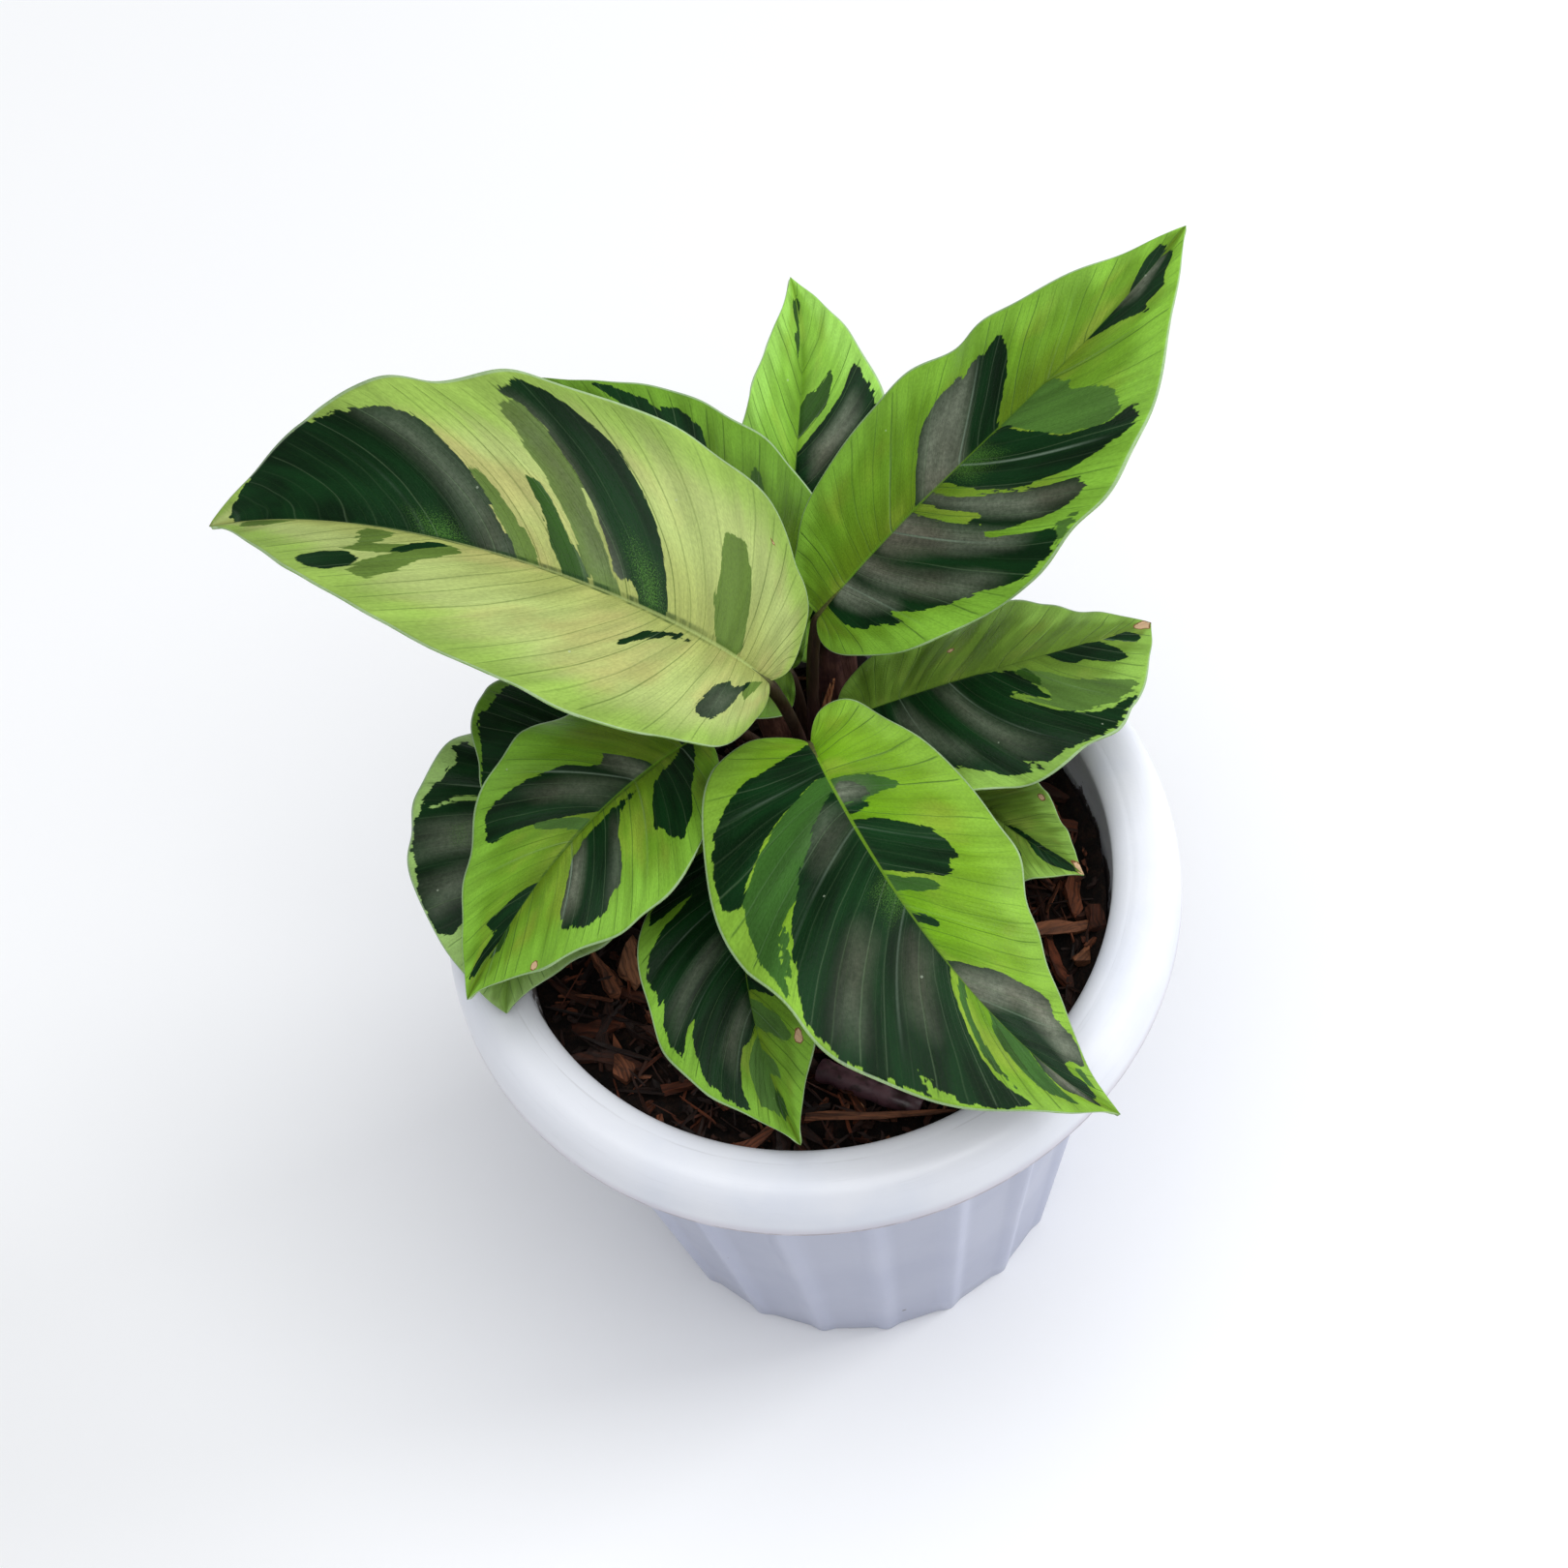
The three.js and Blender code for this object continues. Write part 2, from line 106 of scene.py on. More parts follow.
def ease(tree, value, low, high, start=0.0, end=1.0):
    # goes softly from start to end while the value goes from low to high
    inputs = {"Value": value, "From Min": low, "From Max": high, "To Min": start, "To Max": end}
    return addNode(tree, "MapRange", inputs, interpolation_type="SMOOTHSTEP").outputs[0]


def blend(tree, factor, first, second):
    node = addNode(tree, "Mix", {0: factor, 6: first, 7: second}, data_type="RGBA")
    return node.outputs[2]


def shaded(tree, color, factor):
    # the colour, made lighter or darker by the factor
    return addNode(tree, "VectorMath", {0: color, "Scale": factor}, operation="SCALE").outputs[0]


def spot(tree, x, y, z=0.0):
    return addNode(tree, "CombineXYZ", {0: x, 1: y, 2: z}).outputs[0]


def grain(tree, where, scale=1.0, detail=2.0, roughness=0.5):
    inputs = {"Vector": where, "Scale": scale, "Detail": detail, "Roughness": roughness}
    return addNode(tree, "TexNoise", inputs).outputs[0]


def finishSurface(tree, color, roughness, height=None, depth=0.1, specular=0.5, extra=None):
    # depth is how many millimetres a height of 1 stands out
    surface = addNode(tree, "BsdfPrincipled", {"Base Color": color, "Roughness": roughness})
    surface.inputs["Specular IOR Level"].default_value = specular
    for key, value in (extra or {}).items():
        surface.inputs[key].default_value = value
    if height is not None:
        bump = addNode(tree, "Bump", {"Height": height, "Distance": depth * mm, "Strength": 1.0})
        tree.links.new(bump.outputs[0], surface.inputs["Normal"])
    output = addNode(tree, "OutputMaterial")
    tree.links.new(surface.outputs[0], output.inputs[0])


# Mesh helpers

def newPiece(name, bm, materials, smooth=True):
    mesh = bpy.data.meshes.new(name)
    bm.to_mesh(mesh)
    bm.free()
    for material in materials:
        mesh.materials.append(material)
    mesh.polygons.foreach_set("use_smooth", [smooth] * len(mesh.polygons))
    piece = bpy.data.objects.new(name, mesh)
    bpy.context.scene.collection.objects.link(piece)
    return piece


def settle(piece):
    # applies the modifiers, so that the mesh alone holds the shape
    bpy.context.view_layer.update()
    depsgraph = bpy.context.evaluated_depsgraph_get()
    shaped = bpy.data.meshes.new_from_object(piece.evaluated_get(depsgraph))
    piece.modifiers.clear()
    piece.data = shaped


def stand(piece, slotName, *nodes):
    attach(piece, "root")
    if nodes:
        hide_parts(*nodes)


def cubic(a, b, c, d, t):
    r = 1 - t
    return r ** 3 * a + 3 * r * r * t * b + 3 * r * t * t * c + t ** 3 * d


def quadraticPoints(a, b, c, steps):
    # the points of a quadratic curve after its first one
    points = []
    for i in range(1, steps + 1):
        t = i / steps
        points.append(tuple((1 - t) ** 2 * p + 2 * t * (1 - t) * q + t * t * r for p, q, r in zip(a, b, c)))
    return points


def spinProfile(bm, profile, steps):
    # profile holds radius and height in millimetres, from the axis round to the axis again
    verts = [bm.verts.new((radius * mm, 0, height * mm)) for radius, height in profile]
    edges = [bm.edges.new(pair) for pair in zip(verts, verts[1:])]
    bmesh.ops.spin(bm, geom=verts + edges, cent=(0, 0, 0), axis=(0, 0, 1), angle=2 * math.pi,
                   steps=steps, use_merge=True)
    bmesh.ops.remove_doubles(bm, verts=bm.verts, dist=0.002 * mm)
    bmesh.ops.recalc_face_normals(bm, faces=bm.faces)


def sweepTube(bm, points, radii, sides, flatten=1.0):
    # a closed tube through the points, in millimetres; "along" goes from 0 at its root to 1
    along = bm.verts.layers.float.get("along") or bm.verts.layers.float.new("along")
    count = len(points)
    ring = bmesh.ops.create_circle(bm, cap_ends=True, segments=sides, radius=1)["verts"]
    made = list(ring)
    heading = up
    turn = Quaternion()
    for i, middle in enumerate(points):
        ahead = (points[min(i + 1, count - 1)] - points[max(i - 1, 0)]).normalized()
        turn = heading.rotation_difference(ahead) @ turn
        heading = ahead
        if i > 0:
            inRing = set(ring)
            edges = [e for v in ring for e in v.link_edges if e.other_vert(v) in inRing]
            grown = bmesh.ops.extrude_edge_only(bm, edges=list(set(edges)))["geom"]
            fresh = [v for v in grown if isinstance(v, bmesh.types.BMVert)]
            ring = [next(e.other_vert(v) for e in v.link_edges if e.other_vert(v) in fresh) for v in ring]
            made += ring
        for k, vert in enumerate(ring):
            angle = 2 * math.pi * k / sides
            offset = Vector((math.cos(angle), math.sin(angle) * flatten, 0)) * radii[i]
            vert.co = (middle + turn @ offset) * mm
            vert[along] = i / (count - 1)
    bmesh.ops.contextual_create(bm, geom=ring)
    return made


# The pot: one moulding, ribbed outside, with a broad rolled rim and holes in its floor

pot = {
    "height": 118,
    "rimRadius": 65, "mouthRadius": 53, "rimDepth": 10, "rimShoulder": 59,
    "rimEdgeDrop": 2.4, "rimUnderCut": 1.2, "rimFlange": 0.6,
    "rimCrease": 56.4, "creaseDepth": 0.06, "creaseWidth": 0.3,
    "bodyTopRadius": 56, "bodyBaseRadius": 41.5, "wall": 2.8, "floor": 3, "baseChamfer": 1.2,
    "ribs": 20, "ribHeight": 1.9, "ribHalfAngle": 3.9, "ribFade": 3, "footShare": 0.3, "panelFlatness": 0.75,
    "holes": 6, "holeRadius": 3.5, "holeRing": 25,
    "spinSteps": 400, "curveSteps": 18, "bodySteps": 14,
    # the body tint is a painted shade for the outer wall below the rim, and the shade tint a painted shade
    # on the rim's lower front
    "white": tint(236, 239, 247), "bluish": tint(226, 231, 243), "body": tint(184, 189, 211),
    "dirt": tint(74, 60, 54), "shade": tint(196, 188, 202),
}


def panelRadius(height):
    share = height / (pot["height"] - pot["rimDepth"])
    return pot["bodyBaseRadius"] + (pot["bodyTopRadius"] - pot["bodyBaseRadius"]) * share


def innerRadius(height):
    return panelRadius(min(height, pot["height"] - pot["rimDepth"])) - pot["wall"]


def potMaterial():
    material, tree = newMaterial("white moulded plastic")
    where = addNode(tree, "TexCoord").outputs["Object"]
    axes = addNode(tree, "SeparateXYZ", {0: where}).outputs
    height = times(tree, axes[2], 1 / mm)
    level = spot(tree, axes[0], axes[1])
    radial = addNode(tree, "VectorMath", {0: level}, operation="LENGTH").outputs["Value"]
    radius = times(tree, radial, 1 / mm)
    clouds = grain(tree, where, 40, 4)
    fine = grain(tree, where, 900, 3)
    lip = pot["height"] - pot["rimDepth"]
    color = blend(tree, ease(tree, clouds, 0.4, 0.7), pot["white"], pot["bluish"])
    # painted shade: the outer wall below the rim is tinted darker and bluer, as it lies in shade under the
    # rim, and darker still in the hollows between the ribs
    taper = (pot["bodyTopRadius"] - pot["bodyBaseRadius"]) / lip
    wallRadius = plus(tree, times(tree, height, taper), pot["bodyBaseRadius"] - pot["wall"] / 2)
    shadedWall = times(tree, calc(tree, "GREATER_THAN", radius, wallRadius),
                  ease(tree, height, lip - 2, lip - 0.8, 1.0, 0.0))
    turn = calc(tree, "ARCTAN2", axes[0], times(tree, axes[1], -1.0))
    ribTurn = calc(tree, "FRACT", plus(tree, times(tree, turn, pot["ribs"] / (2 * math.pi)), 0.5))
    hollowShade = ease(tree, absolute(tree, minus(tree, ribTurn, 0.5)), 0.08, 0.3, 1.0, 0.9)
    color = blend(tree, shadedWall, color, shaded(tree, pot["body"], hollowShade))
    # dust that clings in a thin, broken line along the rim's lower edge, and above it a painted shade on the
    # rim's lower front
    patchy = grain(tree, where, 240, 6, 0.7)
    edge = times(tree, ease(tree, height, lip, lip + 0.4, 1.0, 0.0), ease(tree, radius, 63.6, 64.2))
    color = blend(tree, times(tree, edge, ease(tree, patchy, 0.38, 0.55, 0.3, 0.95)), color, pot["dirt"])
    # painted shade: the rim's lower front is tinted purple-grey, fading out upwards
    shade = times(tree, ease(tree, height, lip, lip + 3.2, 1.0, 0.0), ease(tree, radius, 63.0, 64.0))
    color = blend(tree, times(tree, shade, 0.6), color, pot["shade"])
    # faint scuffs round the rim, and the fine crease with dust in it
    scuff = grain(tree, spot(tree, times(tree, turn, 4), times(tree, radius, 2.2), height), 1, 5, 0.7)
    color = shaded(tree, color, ease(tree, scuff, 0.3, 0.45, 0.965, 1.0))
    crease = ease(tree, absolute(tree, minus(tree, radius, pot["rimCrease"])), 0.0, 0.3, 1.0, 0.0)
    crease = times(tree, times(tree, crease, ease(tree, height, 115, 116)),
                  ease(tree, scuff, 0.48, 0.62))
    color = blend(tree, times(tree, crease, 0.16), color, pot["dirt"])
    # compost and chalky residue on the inner wall, near the soil
    inside = times(tree, ease(tree, radius, 53.5, 54.2, 1.0, 0.0), ease(tree, height, 97.0, 98.0))
    stains = minus(tree, grain(tree, where, 170, 7, 0.7), ease(tree, height, 100.0, 109.0, 0.42, 0.7))
    stained = times(tree, inside, ease(tree, stains, 0.0, 0.04))
    color = blend(tree, times(tree, stained, 0.9), color, pot["dirt"])
    # a few dark specks of compost
    cells = addNode(tree, "TexVoronoi", {"Vector": where, "Scale": 120.0})
    chosen = addNode(tree, "TexWhiteNoise", {0: cells.outputs["Position"]}).outputs["Value"]
    size = ease(tree, chosen, 0.9, 1.0, 0.0, 0.07)
    speck = ease(tree, minus(tree, size, cells.outputs["Distance"]), 0.0, 0.015)
    color = blend(tree, times(tree, speck, 0.8), color, pot["dirt"])
    roughness = ease(tree, clouds, 0.3, 0.75, 0.3, 0.44)
    finishSurface(tree, color, roughness, fine, 0.02, 0.5)
    return material


def potProfile():
    lip = pot["height"] - pot["rimDepth"]
    base = pot["bodyBaseRadius"]
    chamfer = pot["baseChamfer"]
    fadeFrom = lip - pot["ribFade"]
    profile = [(0, 0), (12, 0), (base * 0.6, 0), (base - 3.5, 0), (base - chamfer, 0)]
    profile += quadraticPoints((base - chamfer, 0), (base - 0.1, 0), (panelRadius(chamfer), chamfer), 3)
    steps = pot["bodySteps"]
    heights = [chamfer + (fadeFrom - chamfer) * i / steps for i in range(1, steps + 1)]
    heights += [fadeFrom + pot["ribFade"] * i / 5 for i in range(1, 6)]
    profile += [(panelRadius(h), h) for h in heights]
    rim = pot["rimRadius"]
    flange = (rim - pot["rimFlange"], lip - pot["rimUnderCut"])
    profile += [(57.5, lip - 0.1), (61, lip - 0.4), flange]
    profile += quadraticPoints(flange, (rim - 0.05, lip - 0.9), (rim, lip), 3)
    top = pot["height"]
    shoulder = (pot["rimShoulder"], top)
    edge = (pot["mouthRadius"], top - pot["rimEdgeDrop"])
    profile += quadraticPoints((rim, lip), (rim, top), shoulder, pot["curveSteps"])
    corner = (pot["mouthRadius"] + pot["rimEdgeDrop"] / 2, top)
    profile += quadraticPoints(shoulder, corner, edge, pot["curveSteps"])
    profile += [(pot["mouthRadius"] - 0.1, top - 3.2), (innerRadius(lip), lip)]
    profile += [(innerRadius(h), h) for h in (100, 94, 70, 40, 12, 4)]
    profile += [(r, pot["floor"]) for r in (innerRadius(pot["floor"]) - 0.8, 30, 20, 0)]
    return profile


def ribBulge(radius, height, angle):
    # how far a rib stands out of the body at this place
    lip = pot["height"] - pot["rimDepth"]
    if height > lip - 0.01 or abs(radius - panelRadius(height)) > 1.5 or radius < pot["bodyBaseRadius"] - 2:
        return 0
    pitch = 2 * math.pi / pot["ribs"]
    fromRib = (angle + pitch / 2) % pitch - pitch / 2
    fade = math.sin(min(1, (lip - height) / pot["ribFade"]) * math.pi / 2)
    # the panels between the ribs are nearly flat
    fromMiddle = pitch / 2 - abs(fromRib)
    flattening = radius * (math.cos(pitch / 2) / math.cos(fromMiddle) - 1) * pot["panelFlatness"]
    share = min(1, abs(fromRib) / math.radians(pot["ribHalfAngle"]))
    rib = pot["ribHeight"] * (pot["footShare"] + (1 - pot["footShare"]) * height / lip)
    return (rib * (0.5 + 0.5 * math.cos(share * math.pi)) ** 0.8 + flattening) * fade


def makePot():
    bm = bmesh.new()
    spinProfile(bm, potProfile(), pot["spinSteps"])
    for vert in bm.verts:
        radius = math.hypot(vert.co.x, vert.co.y) / mm
        height = vert.co.z / mm
        if radius < 1:
            continue
        bulge = ribBulge(radius, height, math.atan2(vert.co.x, -vert.co.y))
        vert.co.x *= (radius + bulge) / radius
        vert.co.y *= (radius + bulge) / radius
        if height > pot["height"] - 2:
            crease = math.exp(-((radius - pot["rimCrease"]) / pot["creaseWidth"]) ** 2)
            vert.co.z -= pot["creaseDepth"] * crease * mm
    piece = newPiece("whitePot", bm, [potMaterial()])
    cutter = bmesh.new()
    for i in range(pot["holes"]):
        angle = 2 * math.pi * i / pot["holes"]
        middle = Vector((math.cos(angle), math.sin(angle), 0)) * pot["holeRing"] * mm
        radius = pot["holeRadius"] * mm
        bmesh.ops.create_cone(cutter, cap_ends=True, segments=36, radius1=radius, radius2=radius,
                              depth=12 * mm, matrix=Matrix.Translation(middle))
    drills = newPiece("drills", cutter, [])
    cut = piece.modifiers.new("drain holes", "BOOLEAN")
    cut.object = drills
    cut.solver = "EXACT"
    settle(piece)
    bpy.data.objects.remove(drills)
    stand(piece, "white_plastic", "pot")


makePot()
print("pot made")


# The soil: coarse compost, covered with bark slivers, chunks and crumbs

soil = {
    "level": 99, "swell": 1.1, "broad": 9, "fine": 4, "fineShare": 0.4, "bank": 6.2,
    "rings": 84, "steps": 190, "roughHeight": 1.5,
    "dark": tint(16, 10, 7), "brown": tint(46, 28, 19),
}
crown = {"x": 3, "y": 24, "top": 108, "radius": 9}
stub = {"path": [(-4, -31, 101.2), (3, -36, 101.6), (12, -41, 99.6)], "radius": 2.1}

# length, width and thickness in millimetres, how steeply it may lie, and how high above the soil
barkKinds = [
    {"count": 110, "length": (8, 20), "width": (0.9, 2.6), "thickness": (0.6, 1.3),
     "pitch": 0.22, "lift": (0.1, 2)},
    {"count": 90, "length": (4, 11), "width": (2, 4.6), "thickness": (0.8, 1.9),
     "pitch": 0.35, "lift": (-0.3, 1.3)},
    {"count": 560, "length": (3, 11), "width": (0.25, 0.7), "thickness": (0.25, 0.6),
     "pitch": 0.45, "lift": (0, 2.2)},
    {"count": 900, "length": (0.8, 3.2), "width": (0.5, 1.7), "thickness": (0.4, 1.2),
     "pitch": 0.6, "lift": (0, 1.4)},
]
# the chips that show best: place, bearing in radians, length, width, thickness, lift, tone
knownChips = [
    (42.5, -13, 0.1, 12, 3, 1.5, 2.6, 0.74), (45, 8, -0.2, 11, 4.4, 1.6, 2.4, 0.42),
    (34, -24, 2.1, 13, 3.4, 1.6, 1.4, 0.5), (5, -41.8, -0.1, 26, 1.9, 1.0, 3.3, 0.74),
    (-39, -5, 1.8, 11, 4, 1.6, 2, 0.72), (-34, -4, 1.7, 9, 3.4, 1.5, 2.4, 0.8),
    (40, -17, 1.75, 14, 2.6, 1.6, 1.6, 0.55), (-17, -41, 0.5, 12, 3, 1.5, 1.8, 0.6),
    (24, -38, 0.35, 15, 2.8, 1.4, 1.7, 0.42), (46, -6, 1.3, 10, 3, 1.4, 1.9, 0.6),
]


def soilSurface(x, y):
    # gently uneven, and banked up against the wall on the right
    broad = math.sin((x + y / 2) / soil["broad"]) * math.cos((y - x / 2) / soil["broad"])
    fine = math.sin((x + y) / soil["fine"])
    toWall = min(1, max(0, (math.hypot(x, y) - 42) / 9))
    bank = soil["bank"] * toWall ** 2 * max(0, math.cos(math.atan2(y, x) - 0.1)) ** 0.6
    return soil["level"] + soil["swell"] * (broad + soil["fineShare"] * fine) + bank


def compostMaterial():
    material, tree = newMaterial("dark compost")
    where = addNode(tree, "TexCoord").outputs["Object"]
    lumps = grain(tree, where, 420, 6, 0.7)
    crumbs = grain(tree, where, 1500, 4, 0.7)
    color = blend(tree, ease(tree, lumps, 0.4, 0.72), soil["dark"], soil["brown"])
    color = shaded(tree, color, ease(tree, crumbs, 0.3, 0.7, 0.4, 1.5))
    relief = plus(tree, lumps, times(tree, crumbs, 0.6))
    finishSurface(tree, color, ease(tree, crumbs, 0.3, 0.7, 0.75, 0.95), relief, 1.4, 0.25)
    return material


def barkMaterial():
    material, tree = newMaterial("bark chips")
    tone = readAttribute(tree, "tone")
    fibre = spot(tree, times(tree, readAttribute(tree, "lengthwise"), 90),
                 times(tree, readAttribute(tree, "crosswise"), 1500), times(tree, tone, 37))
    streaks = grain(tree, fibre, 1, 4, 0.6)
    blotches = grain(tree, addNode(tree, "TexCoord").outputs["Object"], 500, 3)
    ramp = addNode(tree, "ValToRGB", {0: tone})
    stops = [(0, tint(24, 13, 9)), (0.3, tint(52, 27, 17)), (0.55, tint(92, 46, 26)),
             (0.75, tint(118, 74, 50)), (0.9, tint(156, 112, 80)), (1, tint(184, 144, 108))]
    for position, color in stops[1:-1]:
        ramp.color_ramp.elements.new(position).color = color
    ramp.color_ramp.elements[0].color = stops[0][1]
    ramp.color_ramp.elements[-1].color = stops[-1][1]
    color = shaded(tree, ramp.outputs[0], ease(tree, streaks, 0.34, 0.66, 0.35, 1.5))
    color = blend(tree, ease(tree, blotches, 0.5, 0.75, 0.0, 0.6), color, soil["dark"])
    finishSurface(tree, color, ease(tree, streaks, 0.3, 0.7, 0.55, 0.85), streaks, 0.5, 0.3)
    return material


def chipShape(name, cuts):
    # a plain block, cut across its length so that it can bend and fray
    bm = bmesh.new()
    bmesh.ops.create_cube(bm, size=1)
    long = [e for e in bm.edges if abs(e.verts[0].co.x - e.verts[1].co.x) > 0.5]
    bmesh.ops.subdivide_edges(bm, edges=long, cuts=cuts)
    mesh = bpy.data.meshes.new(name)
    bm.to_mesh(mesh)
    bm.free()
    return mesh


longShape = chipShape("long chip", 5)
shortShape = chipShape("short chip", 2)


def addChip(bm, layers, rng, x, y, bearing, length, width, thickness, lift, tone, pitch=0.08, roll=0.3):
    # a splinter: a block, tapered, bent and frayed at its ends
    shape = longShape if length > 8 else shortShape
    bm.from_mesh(shape)
    bm.verts.ensure_lookup_table()
    made = bm.verts[-len(shape.vertices):]
    slant, taper, bend = rng.uniform(-0.6, 0.6), rng.uniform(0.2, 0.85), rng.uniform(-0.07, 0.07)
    sway, phase, tips = rng.uniform(0.05, 0.3), rng.uniform(0, 6), rng.uniform(0.1, 0.7)
    turn = Matrix.Rotation(bearing, 3, "Z") @ Matrix.Rotation(pitch, 3, "Y") @ Matrix.Rotation(roll, 3, "X")
    ground = soilSurface(x, y) + lift
    for vert in made:
        sx, sy, sz = vert.co * 2
        fray = rng.uniform(-0.16, 0.16)
        narrow = (1 - (1 - taper) * (sx + 1) / 2) * (1 - tips * abs(sx) ** 3)
        spotOn = Vector((
            sx * length / 2 + slant * sy * width / 2 + fray * width * abs(sx),
            (sy * width / 2 * narrow * (1 + rng.uniform(-0.3, 0.3))
             + sway * width * math.sin(2.6 * sx + phase)),
            sz * thickness / 2 * (1 + rng.uniform(-0.3, 0.3)) + bend * length * sx * sx,
        ))
        vert[layers["lengthwise"]] = spotOn.x * mm
        vert[layers["crosswise"]] = (spotOn.y + spotOn.z) * mm
        vert[layers["tone"]] = tone
        vert.co = (turn @ spotOn + Vector((x, y, ground))) * mm


def makeSoil():
    bm = bmesh.new()
    floor = pot["floor"] + 0.3
    top = innerRadius(soil["level"]) - 0.15
    profile = [(0, floor), (innerRadius(floor) - 0.6, floor), (innerRadius(60) - 0.4, 60)]
    profile.append((top, soil["level"] - 1))
    profile += [(top * i / soil["rings"], soil["level"]) for i in range(soil["rings"], -1, -1)]
    spinProfile(bm, profile, soil["steps"])
    for vert in bm.verts:
        x, y, z = vert.co / mm
        if z < soil["level"] - 0.01:
            continue
        seat = Vector((x, y, 0))
        rough = noise.fractal(seat / 3.2, 0.9, 2.1, 4) + 0.5 * noise.noise(seat / 1.1)
        vert.co.z = (soilSurface(x, y) - 0.5 + soil["roughHeight"] * 0.45 * rough) * mm
    compost = newPiece("compost", bm, [compostMaterial()])
    stand(compost, "compost", "soil")

    bm = bmesh.new()
    layers = {key: bm.verts.layers.float.new(key) for key in ("lengthwise", "crosswise", "tone")}
    rng = random.Random(11)
    limit = innerRadius(soil["level"]) - 0.8
    for x, y, bearing, length, width, thickness, lift, tone in knownChips:
        addChip(bm, layers, rng, x, y, bearing, length, width, thickness, lift, tone)
    for kind in barkKinds:
        placed = 0
        while placed < kind["count"]:
            x, y = rng.uniform(-limit, limit), rng.uniform(-limit, limit)
            length = rng.uniform(*kind["length"])
            bearing = rng.uniform(0, math.pi)
            reach = Vector((math.cos(bearing), math.sin(bearing))) * length / 2
            ends = [Vector((x, y)) + reach, Vector((x, y)) - reach]
            fromCrown = math.hypot(x - crown["x"], y - crown["y"])
            if max(end.length for end in ends) > limit or fromCrown < crown["radius"] + length / 2:
                continue
            lift = rng.uniform(*kind["lift"])
            tone = min(0.95, rng.betavariate(1.3, 3.0))
            addChip(bm, layers, rng, x, y, bearing, length, rng.uniform(*kind["width"]),
                    rng.uniform(*kind["thickness"]), lift, tone,
                    rng.uniform(-kind["pitch"], kind["pitch"]), rng.uniform(-0.6, 0.6))
            placed += 1
    bmesh.ops.recalc_face_normals(bm, faces=bm.faces)
    chips = newPiece("barkChips", bm, [barkMaterial()], smooth=False)
    stand(chips, "compost")


makeSoil()
print("soil made")


# The blades. The shape values are the solids' own: half, fold, roll, widest, full, tip, lobe and wave
# came from a least-squares fit to the real outlines, rounded and in part changed. rib holds four
# points of the midrib; the pairs are left and right of the midrib, seen from the base with the face up.
# Markings lie on the blade by the vein they start from, 0 at the base to 1 at the tip, and the share of
# the way to the margin.

shoulderVein = 0.4
veinCrowding = 1.7
veinBend = 0.45
lobeRise = 0.3
tipShoulder = 0.88
bladeCurl = 0.1
bladeThickness = 0.5
pleatDepth = 0.85
channelDepth = 0.35
underVeins = 28
edgeStrips = 105
midribDepth = 1.3
midribTaper = 0.8

# ground colours: over most of the blade, near the midrib and base (towards the base also a painted shade),
# at the margin, in the yellowish bands, and of the half-dark marks
tones = {
    "cream": {"base": tint(172, 189, 114), "inner": tint(158, 168, 94), "margin": tint(146, 178, 82),
              "warm": tint(178, 174, 108), "mid": tint(92, 118, 50)},
    "lime": {"base": tint(108, 154, 38), "inner": tint(96, 128, 26), "margin": tint(128, 180, 58),
             "warm": tint(132, 156, 50), "mid": tint(72, 110, 44)},
    "fresh": {"base": tint(134, 188, 64), "inner": tint(108, 156, 38), "margin": tint(150, 204, 88),
              "warm": tint(140, 182, 62), "mid": tint(70, 110, 40)},
    "vivid": {"base": tint(114, 158, 34), "inner": tint(98, 144, 18), "margin": tint(128, 172, 56),
              "warm": tint(132, 160, 50), "mid": tint(52, 92, 34)},
    # the shady ground is a darker copy of lime: painted shade for blades that lie in the shade of others
    "shady": {"base": tint(72, 106, 18), "inner": tint(56, 84, 14), "margin": tint(102, 146, 44),
              "warm": tint(90, 118, 30), "mid": tint(46, 78, 22)},
    "olive": {"base": tint(110, 146, 52), "inner": tint(98, 130, 44), "margin": tint(136, 178, 76),
              "warm": tint(126, 150, 60), "mid": tint(80, 112, 48)},
    "pale": {"base": tint(136, 176, 84), "inner": tint(116, 156, 60), "margin": tint(158, 196, 112),
             "warm": tint(148, 178, 92), "mid": tint(76, 116, 50)},
}

